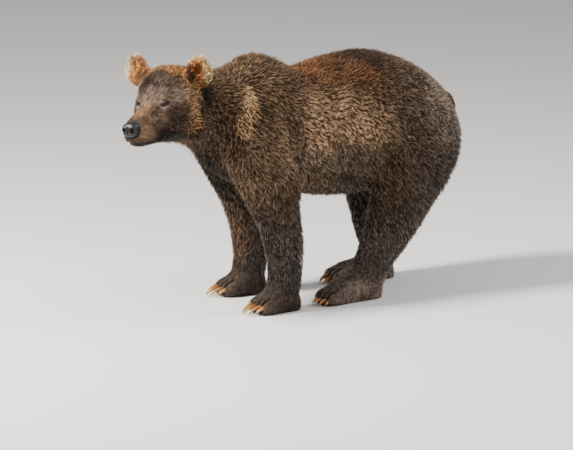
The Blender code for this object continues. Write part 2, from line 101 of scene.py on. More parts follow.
# %% Places on the trunk and neck: x, y, z, lie x, y, z, lock length mm, coat depth mm
TRUNK_COAT = (
    (0.02, -0.38, 0.930, 0.0, 0.95, 0.18, 49, 24),    # nape
    (0.00, -0.13, 0.955, 0.0, 1.00, 0.05, 51, 26),    # hump
    (0.00, 0.07, 0.870, 0.0, 1.00, 0.05, 41, 21),     # saddle
    (0.00, 0.32, 0.925, 0.0, 1.00, -0.05, 38, 20),    # loin
    (0.00, 0.56, 0.860, 0.0, 0.85, -0.50, 36, 19),    # rump
    (0.08, 0.70, 0.660, 0.0, 0.20, -1.00, 41, 21),    # buttock
    (0.19, -0.17, 0.780, 0.0, 0.50, -0.85, 44, 22),   # shoulder
    (0.19, 0.15, 0.800, 0.05, 0.85, -0.55, 41, 20),   # upper flank
    (0.23, 0.20, 0.620, 0.0, 0.65, -0.75, 41, 20),    # flank
    (0.18, 0.18, 0.460, -0.1, 0.40, -0.95, 46, 23),   # low flank
    (0.00, 0.18, 0.395, 0.0, 0.95, -0.30, 43, 22),    # belly
    (0.00, -0.20, 0.470, 0.0, 0.50, -0.80, 46, 23),   # brisket
    (0.00, -0.33, 0.620, 0.0, -0.10, -1.00, 49, 24),  # chest
    (0.17, -0.37, 0.760, 0.0, 0.55, -0.85, 49, 23),   # side of the neck
    (0.05, -0.42, 0.620, 0.0, 0.30, -1.00, 49, 23),   # throat
    (0.22, 0.47, 0.700, 0.0, 0.55, -0.80, 38, 19),    # haunch
)

# %% Places on the head: forward, left, up, lie forward, left, up, lock length mm, coat depth mm
HEAD_COAT = (
    (0.140, 0.010, -0.045, -1.0, 0.10, 0.10, 6, 1.4),      # behind the nose
    (0.080, 0.015, -0.005, -1.0, 0.15, 0.35, 8, 2.0),      # bridge of the muzzle
    (0.030, 0.015, 0.025, -1.0, 0.15, 0.60, 10, 2.8),      # stop
    (-0.035, 0.020, 0.090, -1.0, 0.20, 0.60, 14, 4.5),     # forehead
    (-0.110, 0.040, 0.120, -1.0, 0.15, 0.15, 26, 9.0),     # crown
    (-0.190, 0.000, 0.090, -1.0, 0.00, -0.10, 48, 17.0),   # back of the head
    (0.110, 0.045, -0.070, -1.0, 0.20, -0.10, 6, 1.4),     # side of the muzzle
    (0.130, 0.035, -0.105, -0.8, 0.15, -0.60, 6, 1.4),     # lip
    (0.100, 0.000, -0.145, -0.9, 0.00, -0.45, 12, 3.5),    # chin
    (0.010, 0.050, 0.028, -0.9, 0.40, 0.50, 8, 2.2),       # brow
    (0.025, 0.055, -0.035, -0.8, 0.55, -0.30, 7, 1.8),     # under the eye
    (-0.025, 0.085, -0.030, -0.9, 0.50, -0.20, 13, 4.0),   # cheekbone
    (-0.080, 0.110, -0.060, -0.9, 0.40, -0.45, 28, 10.0),  # cheek
    (-0.130, 0.135, -0.085, -0.8, 0.35, -0.70, 46, 16.0),  # ruff
    (-0.040, 0.060, -0.115, -0.7, 0.20, -0.75, 28, 9.0),   # corner of the jaw
    (-0.090, 0.080, -0.140, -0.5, 0.15, -0.95, 46, 15.0),  # jowl
    (-0.100, 0.000, -0.150, -0.4, 0.00, -1.00, 54, 17.0),  # throat latch
    (-0.050, 0.105, 0.045, -0.9, 0.50, 0.30, 16, 5.0),     # temple
)

# %% Places on one leg's nodes: node, share of its box (outward, back, up), lie, lock length mm, depth mm
LEG_COAT = (
    ("upper_arm", 1.0, 0.5, 0.5, 0.0, 0.30, -1.0, 46, 17),
    ("upper_arm", 0.5, 1.0, 0.5, 0.0, 0.60, -0.9, 50, 19),
    ("forearm", 1.0, 0.5, 0.7, 0.0, 0.20, -1.0, 34, 11),
    ("forearm", 0.5, 1.0, 0.6, 0.0, 0.70, -0.8, 38, 14),
    ("forearm", 0.5, 0.2, 0.3, 0.0, 0.05, -1.0, 26, 8),
    ("fore_paw", 0.5, 0.9, 0.9, 0.0, 0.35, -1.0, 22, 7),
    ("fore_paw", 0.5, 0.4, 0.8, 0.0, -0.80, -0.6, 12, 3.2),
    ("fore_paw", 0.5, 0.0, 0.3, 0.0, -1.00, -0.4, 7, 1.5),
    ("thigh", 1.0, 0.5, 0.5, 0.0, 0.50, -0.9, 46, 18),
    ("thigh", 0.5, 1.0, 0.5, 0.0, 0.45, -1.0, 50, 20),
    ("shank", 1.0, 0.5, 0.7, 0.0, 0.40, -1.0, 34, 12),
    ("shank", 0.5, 1.0, 0.6, 0.0, 0.70, -0.9, 40, 15),
    ("shank", 0.5, 0.3, 0.2, 0.0, 0.10, -1.0, 26, 8),
    ("hind_paw", 0.5, 0.9, 0.8, 0.0, 0.30, -1.0, 20, 6),
    ("hind_paw", 0.5, 0.4, 0.8, 0.0, -0.85, -0.5, 12, 3.2),
    ("hind_paw", 0.5, 0.0, 0.3, 0.0, -1.00, -0.4, 7, 1.5),
)
TAIL_COAT = (0.0, 0.2, -1.0, 38, 8)
EAR_COAT = (0.0, 0.0, 1.0, 25, 3)


# %% Gather all the places in world directions
def coat_places():
    rows = []
    for row in TRUNK_COAT:
        for sign in SIDES.values():
            rows.append((sign * row[0], *row[1:3], sign * row[3], *row[4:]))
    for row in HEAD_COAT:
        for sign in SIDES.values():
            place = from_head((row[0], sign * row[1], row[2]))
            lie = np.array((row[3], sign * row[4], row[5])) @ head_axes
            rows.append((*place, *lie, *row[6:]))
    for side, sign in SIDES.items():
        for name, out, back, up, *rest in LEG_COAT:
            low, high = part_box(f"{name}_{side}")
            inner, outer = sorted((low.x, high.x), key=abs)
            rows.append((inner + (outer - inner) * out, low.y + (high.y - low.y) * back,
                         low.z + (high.z - low.z) * up, sign * rest[0], *rest[1:]))
        rows.append((*middle("ear_" + side), *(np.array(EAR_COAT[:3]) @ head_axes), *EAR_COAT[3:]))
    rows.append((*middle("tail"), *TAIL_COAT))
    return np.array(rows, float)


MM = 0.001                   # the tables give small lengths in millimetres
places = coat_places()
places[:, 3:6] /= np.linalg.norm(places[:, 3:6], axis=1)[:, None]
places[:, 6:8] *= MM
print(len(places), "combed places")

# %% Blend the coat between the places
BLEND_REACH = 0.012          # places closer than this count alike
BLEND_POWER = 2.0            # how fast a place's share fades with the square of its distance
AT_ONCE = 20000              # points blended at a time, to spare memory


def unit(vectors):
    return vectors / (np.linalg.norm(vectors, axis=-1, keepdims=True) + 1e-9)


def coat_at(points):
    """Lie, lock length and coat depth at each point, blended from the combed places near it."""
    out = np.empty((len(points), 5))
    for start in range(0, len(points), AT_ONCE):
        some = points[start:start + AT_ONCE]
        gap = ((some[:, None, :] - places[None, :, :3]) ** 2).sum(axis=2) + BLEND_REACH**2
        share = gap**-BLEND_POWER
        share /= share.sum(axis=1)[:, None]
        out[start:start + AT_ONCE] = share @ places[:, 3:8]
    out[:, :3] = unit(out[:, :3])
    return out[:, :3], out[:, 3], out[:, 4]


hump_lie, hump_length, _ = coat_at(np.array([(0.0, -0.13, 0.95)]))
print("on the hump, locks of", round(float(hump_length[0]) / MM), "mm lie along", hump_lie[0].round(2))

# %% [markdown]
# ## The skin
# Under the coat is one skin. The solids are parted by thin cuts, so they are first swollen a little to
# close the cuts, then remeshed together with a Voxel Remesh, which makes one even mesh of all of them.
# That mesh is smoothed and pulled in by the depth of the coat. Sculpting it by hand would work too,
# but here it follows the solids, so it fits however they change.


# %% Tools for a mesh held as arrays of points
def arrays_of(mesh):
    points = np.empty(len(mesh.vertices) * 3, np.float32)
    mesh.vertices.foreach_get("co", points)
    edges = np.empty(len(mesh.edges) * 2, np.int32)
    mesh.edges.foreach_get("vertices", edges)
    return points.reshape(-1, 3).astype(float), edges.reshape(-1, 2)


def triangles_of(mesh):
    mesh.calc_loop_triangles()
    corners = np.empty(len(mesh.loop_triangles) * 3, np.int32)
    mesh.loop_triangles.foreach_get("vertices", corners)
    return corners.reshape(-1, 3)


def move_points(mesh, points):
    mesh.vertices.foreach_set("co", points.astype(np.float32).ravel())
    mesh.update()


def shade_smooth(mesh):
    mesh.polygons.foreach_set("use_smooth", np.ones(len(mesh.polygons), bool))


def added_up(index, values, count):
    return np.stack([np.bincount(index, values[:, k], count) for k in range(values.shape[1])], axis=1)


def normals_of(points, corners):
    a, b, c = (points[corners[:, k]] for k in range(3))
    face = np.cross(b - a, c - a)
    total = sum(added_up(corners[:, k], face, len(points)) for k in range(3))
    return total / (np.linalg.norm(total, axis=1)[:, None] + 1e-12)


def relaxed(points, edges, rounds, share):
    """Moves each point towards the mean of its neighbours, by its own share, a few times."""
    count = np.bincount(edges.ravel(), minlength=len(points))[:, None]
    share = np.broadcast_to(np.asarray(share, float).reshape(-1, 1), (len(points), 1))
    for _ in range(rounds):
        total = added_up(edges[:, 0], points[edges[:, 1]], len(points))
        total += added_up(edges[:, 1], points[edges[:, 0]], len(points))
        points = points + share * (total / count - points)
    return points


def smoothstep(low, high, value):
    """0 below low, 1 above high, and a soft S between them. With low above high it falls instead."""
    t = np.clip((value - low) / (high - low), 0, 1)
    return t * t * (3 - 2 * t)


# %% Tools that make objects
SAME_POINT = 1e-5            # points closer than this are one


def in_scene(name, data):
    """A new object, linked into the scene."""
    thing = bpy.data.objects.new(name, data)
    bpy.context.scene.collection.objects.link(thing)
    return thing


def even_object(name, node_names, voxel, swell=0.0):
    """Joins some nodes' solids into one object, with the even mesh of a Voxel Remesh."""
    bm = bmesh.new()
    for node_name in node_names:
        bm.from_mesh(nodes[node_name].data)
    bmesh.ops.remove_doubles(bm, verts=bm.verts, dist=SAME_POINT)
    bm.normal_update()
    for vert in bm.verts:
        vert.co += vert.normal * swell
    mesh = bpy.data.meshes.new(name)
    bm.to_mesh(mesh)
    bm.free()
    thing = in_scene(name, mesh)
    remesh = thing.modifiers.new("even", "REMESH")
    remesh.mode = "VOXEL"
    remesh.voxel_size = voxel
    graph = bpy.context.evaluated_depsgraph_get()
    made = bpy.data.meshes.new_from_object(thing.evaluated_get(graph))
    thing.modifiers.clear()
    thing.data = made
    return thing


# %% Join the flesh into one even mesh
SKIN_VOXEL = 0.0092
SWELL = 0.001                # closes the cuts between the solids
FLESH = [name for name in nodes if not name.startswith(("eye", "nose", "claw"))]
SOCKET_FILL = ("nose", "eye_left", "eye_right")    # joined too, so that the skin spans their sockets
skin = even_object("bear_skin", (*FLESH, *SOCKET_FILL), SKIN_VOXEL, SWELL)
points, edges = arrays_of(skin.data)
corners = triangles_of(skin.data)
print("one skin of", len(FLESH), "solids, with", len(points), "points")

# %% Smooth it, and pull it in by the coat's depth
SMOOTH_ROUNDS = 12
SMOOTH_SHARE = 0.5
EAR_SPARED = 0.3             # how much less of it the thin ears take
INSET_STEPS = 4
INSET_SMOOTH = 0.30
SOLE = 0.012                 # below this height the sole keeps its place on the floor


def ear_gap(points):
    """Distance to the middle of the nearer ear."""
    return np.minimum(*(np.linalg.norm(points - np.array(middle("ear_" + side)), axis=1) for side in SIDES))


face = smoothstep(-0.16, -0.05, to_head(points)[:, 0])
foot = smoothstep(0.14, 0.08, points[:, 2])
ear = smoothstep(0.085, 0.065, ear_gap(points))
plain = 1 - np.maximum(np.maximum(face, foot), ear)
points = relaxed(points, edges, SMOOTH_ROUNDS, SMOOTH_SHARE * plain)
points = relaxed(points, edges, 2, SMOOTH_SHARE - EAR_SPARED * ear)
for _ in range(INSET_STEPS):
    depth = coat_at(points)[2]
    normal = normals_of(points, corners)
    sole = smoothstep(SOLE, 0.0, points[:, 2]) * smoothstep(0.2, -0.4, normal[:, 2])
    points = points - normal * (depth * (1 - sole) / INSET_STEPS)[:, None]
    points = relaxed(points, edges, 1, INSET_SMOOTH * plain)
points[:, 2] = np.maximum(points[:, 2], 0.0)
move_points(skin.data, points)
print("skin pulled in, lowest point", round(points[:, 2].min() / MM, 2), "mm")

# %% [markdown]
# ## Finer skin where the small shapes are
# Eyelids, lips and toes are only millimetres high, and the body's mesh is too coarse for them. A finer
# remesh everywhere would cost a million faces. Subdividing only the face, the ears and the feet keeps
# the mesh small, and the new points are relaxed so that the surface stays round.

# %% Subdivide the face, the ears and the feet
FINE_SHARE = 0.35            # how far the new points relax, twice


def subdivided(thing, chosen):
    """Cuts every face whose corners are all chosen into four."""
    bm = bmesh.new()
    bm.from_mesh(thing.data)
    picked = set()
    for one in bm.faces:
        if all(chosen[vert.index] for vert in one.verts):
            picked.update(one.edges)
    bmesh.ops.subdivide_edges(bm, edges=list(picked), cuts=1, use_grid_fill=True)
    bm.to_mesh(thing.data)
    bm.free()
    return arrays_of(thing.data)


def near_eye(points, reach):
    gaps = [np.linalg.norm(points - np.array(eye_at[side]), axis=1) for side in SIDES]
    return np.minimum(*gaps) < reach


ahead = to_head(points)[:, 0]
points, edges = subdivided(skin, (ahead > -0.070) | (points[:, 2] < 0.070) | (ear_gap(points) < 0.065))
fine = smoothstep(-0.08, -0.05, to_head(points)[:, 0])
points = relaxed(points, edges, 2, FINE_SHARE * np.maximum(fine, points[:, 2] < 0.08))
move_points(skin.data, points)
print("with the face, ears and feet cut once, the skin has", len(points), "points")

# %% Subdivide the front of the face again, and round the eyes once more
points, edges = subdivided(skin, to_head(points)[:, 0] > -0.022)
points = relaxed(points, edges, 2, FINE_SHARE * smoothstep(-0.03, -0.01, to_head(points)[:, 0]))
move_points(skin.data, points)
points, edges = subdivided(skin, near_eye(points, 0.030))
points = relaxed(points, edges, 2, FINE_SHARE * near_eye(points, 0.028))
move_points(skin.data, points)
corners = triangles_of(skin.data)
print("now it has", len(points), "points and", len(corners), "triangles")

# %% [markdown]
# ## Sculpting the face
# A sculptor pulls and pushes with a soft brush. The same is done here with named strokes: each one
# moves the skin round a place on the face by a few millimetres, and fades out with distance.

# %% Soft strokes: forward, left, up, size of the brush, push forward, left, up, all in mm
STROKES = (
    (0, 50, 20, 15, 3.0, 3.0, 3.0),        # brow over the eye
    (22, 30, -6, 13, -3.0, -3.0, -1.0),    # hollow between the eye and the bridge
    (8, 66, -30, 18, 2.0, 3.0, 0.0),       # cheekbone under the eye
    (30, 50, -50, 20, 0.0, -4.0, 0.0),     # hollow behind the muzzle
    (112, 30, -96, 20, 0.0, 4.0, -1.0),    # whisker pad
    (80, 48, -96, 20, 0.0, 3.0, 0.0),      # upper lip
    (28, 0, 34, 22, -2.0, 0.0, -2.0),      # stop between the eyes
    (-100, 140, 94, 20, -9.0, -5.0, 0.0),  # hollow of the ear
)


def stroked(points, strokes):
    """Strokes on the face. One that is off the middle is made on both sides."""
    place = to_head(points)
    for ahead, left, up, size, *push in strokes:
        for sign in ((1.0, -1.0) if left else (1.0,)):
            gap = place - np.array((ahead, sign * left, up)) * MM
            fade = np.exp(-((gap / (size * MM)) ** 2).sum(axis=1))
            move = np.array((push[0], sign * push[1], push[2])) * MM
            points = points + fade[:, None] * (move @ head_axes)
    return points


before = points
points = stroked(points, STROKES)
print("strokes move the face by up to", round(np.linalg.norm(points - before, axis=1).max() / MM, 1), "mm")

# %% Tuck the skin in under the nose pad
NOSE_TUCK = 0.0035
NOSTRIL = (0.0165, 0.010)    # left of the middle, and the hole's reach
NOSTRIL_ROOM = 0.012         # how much further the skin draws back behind a nostril
NOSE_SEARCH = 0.10           # only skin further forward than this can touch the nose
nose_tree = BVHTree.FromPolygons([vert.co for vert in nodes["nose"].data.vertices],
                                 [tuple(face.vertices) for face in nodes["nose"].data.polygons])
nose_gap = np.full(len(points), 1.0)
for index in np.flatnonzero(to_head(points)[:, 0] > NOSE_SEARCH):
    nose_gap[index] = nose_tree.find_nearest(points[index])[3]
in_nose = smoothstep(0.0045, 0.0025, nose_gap)
from_nose = to_head(points) - to_head(middle("nose"))
hole_gap = np.hypot(np.abs(from_nose[:, 1]) - NOSTRIL[0], from_nose[:, 2]) / NOSTRIL[1]
points = points - normals_of(points, corners) * (NOSE_TUCK * in_nose)[:, None]
room = NOSTRIL_ROOM * in_nose * np.exp(-(hole_gap**2)) * (from_nose[:, 0] > 0)
points = points - np.array(head_forward) * room[:, None]
print((in_nose > 0).sum(), "points tucked in under the nose")

# %% Fuller fronts of the upper arms and thighs: x, y, z, size, push x, y, z, in metres
BODY_STROKES = (
    (0.14, -0.27, 0.53, 0.10, 0.006, -0.022, 0.0),
    (0.13, -0.20, 0.43, 0.08, 0.004, -0.016, 0.0),
    (0.14, 0.28, 0.38, 0.09, 0.002, -0.018, 0.0),
)
for x, y, z, size, *push in BODY_STROKES:
    for sign in SIDES.values():
        gap = (points - np.array((sign * x, y, z))) / size
        fade = np.exp(-(gap**2).sum(axis=1))[:, None]
        points = points + fade * np.array((sign * push[0], *push[1:]))
print(len(BODY_STROKES), "soft strokes on each side of the body")

# %% The line of the mouth, pressed in as a groove: forward, left, up in mm
MOUTH = ((161, 0, -121), (154, 9, -124), (127, 29, -130), (100, 33, -132), (74, 35, -132), (37, 42, -126),
         (21, 49, -117))
MOUTH_WIDTH = 0.0036
MOUTH_DEPTH = 0.0048
LIP_BELOW = 9                # the lower lip swells this far under the line
LIP_SOFT = 0.006
LIP_SWELL = 0.0020


def path_gap(points, path):
    """Distance from each point to a path of straight runs on both sides of the head."""
    place = to_head(points)
    place[:, 1] = np.abs(place[:, 1])
    best = np.full(len(points), 1.0)
    for one, two in zip(path, path[1:]):
        one, two = np.array(one) * MM, np.array(two) * MM
        run = two - one
        share = np.clip((place - one) @ run / (run @ run), 0, 1)
        best = np.minimum(best, np.linalg.norm(place - one - share[:, None] * run, axis=1))
    return best


def pressed(points, path, width, depth):
    """Presses the skin inwards along a path, or swells it where depth is below zero."""
    fade = np.exp(-((path_gap(points, path) / width) ** 2))
    return points - normals_of(points, corners) * (depth * fade)[:, None]


points = pressed(points, MOUTH, MOUTH_WIDTH, MOUTH_DEPTH)
lower_lip = [(ahead, left, up - LIP_BELOW) for ahead, left, up in MOUTH[:5]]
points = pressed(points, lower_lip, LIP_SOFT, -LIP_SWELL)
print((path_gap(points, MOUTH) < MOUTH_WIDTH).sum(), "points of the skin lie in the line of the mouth")

# %% [markdown]
# ## Eye openings and lids
# Each eyeball is a sphere deep in the head, and what shows of it is an almond between two lids. The
# skin is shaped round that sphere: inside the almond it is tucked behind the eyeball, and at the
# almond's edge it stands just proud of it, as a lid does.

# %% Directions of each eye, and the almond between the lids
GAZE_OUT = math.radians(38)  # a bear's eyes look a little outwards
LID_SLANT = math.radians(20)  # the outer corner is the higher one
ALMOND_WIDE = math.radians(64)
ALMOND_UP = math.radians(25)
ALMOND_DOWN = math.radians(27)


def eye_axes(side):
    """Rows: the way the eye looks, across towards its outer corner, and up."""
    sign = SIDES[side]
    gaze = head_forward * math.cos(GAZE_OUT) + head_left * (sign * math.sin(GAZE_OUT))
    across = head_left * (sign * math.cos(GAZE_OUT)) - head_forward * math.sin(GAZE_OUT)
    slanted = across * math.cos(LID_SLANT) + head_up * math.sin(LID_SLANT)
    return np.array([gaze, slanted, head_up * math.cos(LID_SLANT) - across * math.sin(LID_SLANT)])


def almond(angle_across):
    """How far up and down the opening reaches, at an angle across the eye."""
    share = np.clip(1 - (angle_across / ALMOND_WIDE) ** 2, 0, 1)
    return ALMOND_UP * share**0.8, ALMOND_DOWN * share**0.9


print("an eye is open by", round(math.degrees(sum(almond(np.zeros(1)))[0])), "degrees")

# %% Shape the skin round the eyeballs
LID_PROUD = 0.0018           # how far the lid's edge stands off the eyeball
LID_LEAST = 0.0010           # least thickness of the skin over the eyeball
LID_REACH = 0.020            # how far round the eyeball the skin is shaped
LID_SOFT = math.radians(34)  # the angle over which a lid runs out into the face
LID_BEHIND = 0.003           # how far behind the eyeball's front the skin is tucked


def with_lids(points, side):
    local = (points - np.array(eye_at[side])) @ eye_axes(side).T
    reach = np.linalg.norm(local, axis=1) + 1e-9
    across = np.arctan2(local[:, 1], local[:, 0])
    up = np.arcsin(np.clip(local[:, 2] / reach, -1, 1))
    high, low = almond(across)
    inside = np.where(up > 0, up / (high + 1e-3), -up / (low + 1e-3)) < 1
    inside &= (np.abs(across) < ALMOND_WIDE) & (local[:, 0] > 0)
    past_corner = np.maximum(np.abs(across) - ALMOND_WIDE, 0)
    past_lid = np.maximum(up - high, 0) + np.maximum(-up - low, 0)
    blend = np.exp(-((np.hypot(past_corner, past_lid) / LID_SOFT) ** 2))
    blend = blend * smoothstep(2.2 * eye_radius, 1.3 * eye_radius, reach)
    blend *= local[:, 0] > -0.3 * eye_radius
    covering = np.maximum(reach + (eye_radius + LID_PROUD - reach) * blend, eye_radius + LID_LEAST)
    wanted = np.where(inside, eye_radius - LID_BEHIND, covering)
    shaped = np.array(eye_at[side]) + local / reach[:, None] * wanted[:, None] @ eye_axes(side)
    return np.where((reach < LID_REACH + eye_radius)[:, None], shaped, points)


for side in SIDES:
    points = with_lids(points, side)
move_points(skin.data, points)
corners = triangles_of(skin.data)
print(near_eye(points, eye_radius + LID_REACH).sum(), "points shaped round the eyeballs")

# %% [markdown]
# ## Toes
# Each foot has five toes side by side. The claws say where the toes are, so the clefts between two toes
# run back from the middle between two neighbouring claws.

# %% Press the clefts between the toes
CLEFT_DEPTH = 0.017
CLEFT_WIDTH = 0.0055
CLEFT_LENGTH = 0.050
CLEFT_START = 0.020          # how far in front of the claws' bases a cleft starts
CLEFT_TOP = 0.07             # and the height where it ends
TOE_RISE = 0.009             # how far each toe's knuckle swells
TOE_SIZE = 0.0145
TOE_BACK = 0.013             # how far it lies behind the claw's base
CLAW_BASE = 0.004            # a claw's points this close to its back end are its base


def claw_line(name):
    """The base and the tip of a claw, read from its solid."""
    spots = np.array([vert.co for vert in nodes[name].data.vertices])
    return spots[spots[:, 1] > spots[:, 1].max() - CLAW_BASE].mean(axis=0), spots[spots[:, 1].argmin()]


def knuckle_swell(points, base, tip):
    """A round swelling behind a claw, which fades out towards the sole."""
    run = (base - tip) * np.array((1.0, 1.0, 0.0))
    knuckle = base + run / np.linalg.norm(run) * TOE_BACK
    fade = np.exp(-(((points - knuckle) / TOE_SIZE) ** 2).sum(axis=1))
    return fade * smoothstep(0.004, 0.014, points[:, 2])


def cleft_between(points, base, tip, next_base, next_tip):
    """A narrow valley that runs back from the middle between two claws."""
    start = (base + next_base) / 2
    run = start - (tip + next_tip) / 2
    run[2] = 0
    run /= np.linalg.norm(run)
    start = start - run * CLEFT_START
    gap = points[:, :2] - start[:2]
    along = gap @ run[:2]
    beside = np.abs(gap @ np.array((-run[1], run[0])))
    fade = smoothstep(CLEFT_LENGTH + 0.02, 0.01, along) * (along > -0.03)
    return fade * (np.exp(-((beside / CLEFT_WIDTH) ** 2)) * (points[:, 2] < CLEFT_TOP))


def with_toes(points):
    """The skin with its toes, and how deep in a cleft each point is, from 0 to 1."""
    normal = normals_of(points, corners)
    cleft = np.zeros(len(points))
    swell = np.zeros(len(points))
    for foot in (f"{limb}_{side}" for limb in ("fore", "hind") for side in SIDES):
        lines = [claw_line(f"claw_{foot}_{number}") for number in range(1, 6)]
        for line in lines:
            swell = np.maximum(swell, knuckle_swell(points, *line))
        for line, next_line in zip(lines, lines[1:]):
            cleft = np.maximum(cleft, cleft_between(points, *line, *next_line))
    cleft = cleft * smoothstep(-0.6, 0.1, normal[:, 2])
    return points + normal * (TOE_RISE * swell - CLEFT_DEPTH * cleft)[:, None], cleft


points, cleft = with_toes(points)
points = relaxed(points, edges, 1, 0.25 * (points[:, 2] < 0.08))
points[:, 2] = np.maximum(points[:, 2], 0.0)
move_points(skin.data, points)
corners = triangles_of(skin.data)
print((cleft > 0.5).sum(), "points of the skin lie in clefts")

# %% [markdown]
# ## What the skin remembers
# Lips, the rims of the eyes, the edge of the nose and the soles are bare. A material can't find these
# places by itself, so each point of the mesh carries a few values by name: how bare it is, where it is
# on the body, and a place that is drawn out along the fur, which turns a noise texture into hairs.

# %% Mark the bare skin: lips, the rims of the eyes, the soles
LIP_WIDTH = 0.0078
EYE_BARE = (0.0185, 0.0095, 0.0005)    # half the width and height of an eye's bare oval, and its rise
EYE_BARE_REACH = 0.008
bare = np.exp(-((path_gap(points, MOUTH) / LIP_WIDTH) ** 2))
for side in SIDES:
    local = (points - np.array(eye_at[side])) @ eye_axes(side).T
    oval = np.hypot(local[:, 1] / EYE_BARE[0], (local[:, 2] - EYE_BARE[2]) / EYE_BARE[1])
    near = np.linalg.norm(local, axis=1) < eye_radius + EYE_BARE_REACH
    bare = np.maximum(bare, smoothstep(1.15, 0.85, oval) * near)
bare = np.maximum(bare, smoothstep(0.0065, 0.0040, nose_gap))
place = to_head(points)
# The strip between the nose and the upper lip.
philtrum = np.exp(-((place[:, 1] / 0.007) ** 2)) * smoothstep(0.140, 0.150, place[:, 0])
bare = np.maximum(bare, philtrum * smoothstep(-0.085, -0.095, place[:, 2]))
bare = np.maximum(bare, smoothstep(0.004, 0.0015, points[:, 2]))
bare = np.maximum(bare, smoothstep(0.25, 0.60, cleft))
print((bare > 0.5).sum(), "points of the skin are bare")

# %% Store the values that the skin's material reads
STREAK_SHARE = 0.88          # how much the short fur's grain is drawn out along its lie
VALUE_KINDS = {"place": "FLOAT_VECTOR", "streak": "FLOAT_VECTOR"}


def give(mesh, **values):
    """Stores one value a point under each name, for a material to read."""
    for name, value in values.items():
        kind = VALUE_KINDS.get(name, "FLOAT")
        made = mesh.attributes.new(name, kind, "POINT")
        field = "vector" if kind == "FLOAT_VECTOR" else "value"
        made.data.foreach_set(field, np.asarray(value, np.float32).ravel())


skin_lie, lengths, _ = coat_at(points)
in_head = to_head(points)
head_lie = skin_lie @ head_axes.T
streak = in_head - head_lie * (in_head * head_lie).sum(axis=1)[:, None] * STREAK_SHARE
short_fur_along = 0.20 + 0.45 * smoothstep(0.020, 0.010, lengths)
middling = np.full(len(points), 0.5)
give(skin.data, place=points, bare=bare, streak=streak, along=short_fur_along, chance=middling, lock=middling)
shade_smooth(skin.data)
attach(skin, "root")
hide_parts(*FLESH)
print(len(corners), "triangles of skin, in place of", len(FLESH), "solids")

# %% [markdown]
# ## Places for the locks
# Hair grows in clumps, which end in a shared point. So the coat is planned in two steps: roots for the
# clumps are spread over the skin, closer together where the coat is shorter, and each clump then gets
# a few locks. Random points alone would leave bald spots, so only one root is kept in each small cell.

# %% Spread clump roots over the skin
SPACING_LEAST = 0.0010
SPACING_SHARE = 0.125        # spacing between clumps, as a share of the lock's length
SPACING_MOST = 0.0050
TRIES = 5.0                  # random places tried for each clump
BARE_FROM = 0.45             # skin that is barer than this grows no locks
CELL_STEP = 1.18             # cells come in sizes this much apart
CELL_SHARE = 1.12            # a cell's side, as a share of the spacing


def spacing_of(length):
    return np.minimum(SPACING_LEAST + SPACING_SHARE * length, SPACING_MOST)


def spread_roots():
    """Places, normals and faces of the clumps' roots."""
    a, b, c = (points[corners[:, k]] for k in range(3))
    area = np.linalg.norm(np.cross(b - a, c - a), axis=1) / 2
    spacing = spacing_of(lengths[corners].mean(axis=1))
    wanted = TRIES * area / spacing**2 * (bare[corners].mean(axis=1) < BARE_FROM)
    total = np.cumsum(wanted)
    picked = np.searchsorted(total, rng.random(int(total[-1])) * total[-1])
    u, v = rng.random((2, len(picked), 1))
    u, v = np.where(u + v > 1, 1 - u, u), np.where(u + v > 1, 1 - v, v)
    spots = a[picked] + (b[picked] - a[picked]) * u + (c[picked] - a[picked]) * v
    level = np.round(np.log(spacing[picked]) / math.log(CELL_STEP)).astype(int)
    cell = np.floor(spots / (CELL_STEP ** level)[:, None] / CELL_SHARE).astype(int)
    _, first = np.unique(np.column_stack([level, cell]), axis=0, return_index=True)
    first.sort()
    normal = np.cross(b - a, c - a)[picked[first]]
    return spots[first], normal / np.linalg.norm(normal, axis=1)[:, None], picked[first]


roots, root_normals, root_faces = spread_roots()
print(len(roots), "clumps")

# %% [markdown]
# ## How each clump lies
# A lock leaves the skin at a slant, bends over and runs along the body. Its direction is the combed
# lie, turned a little by a slow wave and by chance, so that no two neighbours are quite parallel.
# Where the lie points off the skin, as under the belly, the lock hangs away from it instead. The hair
# of an ear fans out from the ear's base.

# %% The combed direction of each clump
EAR_BASE = (-0.112, 0.112, 0.040)    # forward, left and up from the eyes' line
lie, clump_length, clump_depth = coat_at(roots)
on_ear = smoothstep(0.062, 0.050, ear_gap(roots))[:, None]
left_base, right_base = (from_head(np.multiply(EAR_BASE, (1, sign, 1))) for sign in SIDES.values())
ear_base = np.where(to_head(roots)[:, 1:2] > 0, left_base, right_base)
lie = unit(lie * (1 - on_ear) + unit(roots - ear_base) * on_ear)
off_skin = (lie * root_normals).sum(axis=1)
flat = unit(lie - off_skin[:, None] * root_normals)
print((on_ear > 0.5).sum(), "clumps grow on the ears")

# %% Turn each one a little, and give it a length and a height
CHANCE_TURN = math.radians(12)
EAR_CALM = 0.6               # how much less the ears' hair is turned
HANG_OUT = 0.65              # how much further from the skin a lock reaches where the lie leaves the skin
HANG_SHORT = 0.40            # and how much less far along it
# how the waves run: x, y, z, start, turn in degrees
WAVES = ((34.0, 11.0, 23.0, 0.3, 7.0), (-17.0, 41.0, 12.0, 1.7, 7.0), (21.0, -26.0, 37.0, 4.1, 6.0),
         (95.0, -60.0, 70.0, 2.2, 10.0), (-70.0, 85.0, -95.0, 5.0, 10.0))


def wave_turn(spots):
    """How far the lie is turned: smooth swirls some centimetres across."""
    return sum(math.radians(turn) * np.sin(spots @ np.array(run) + start) for *run, start, turn in WAVES)


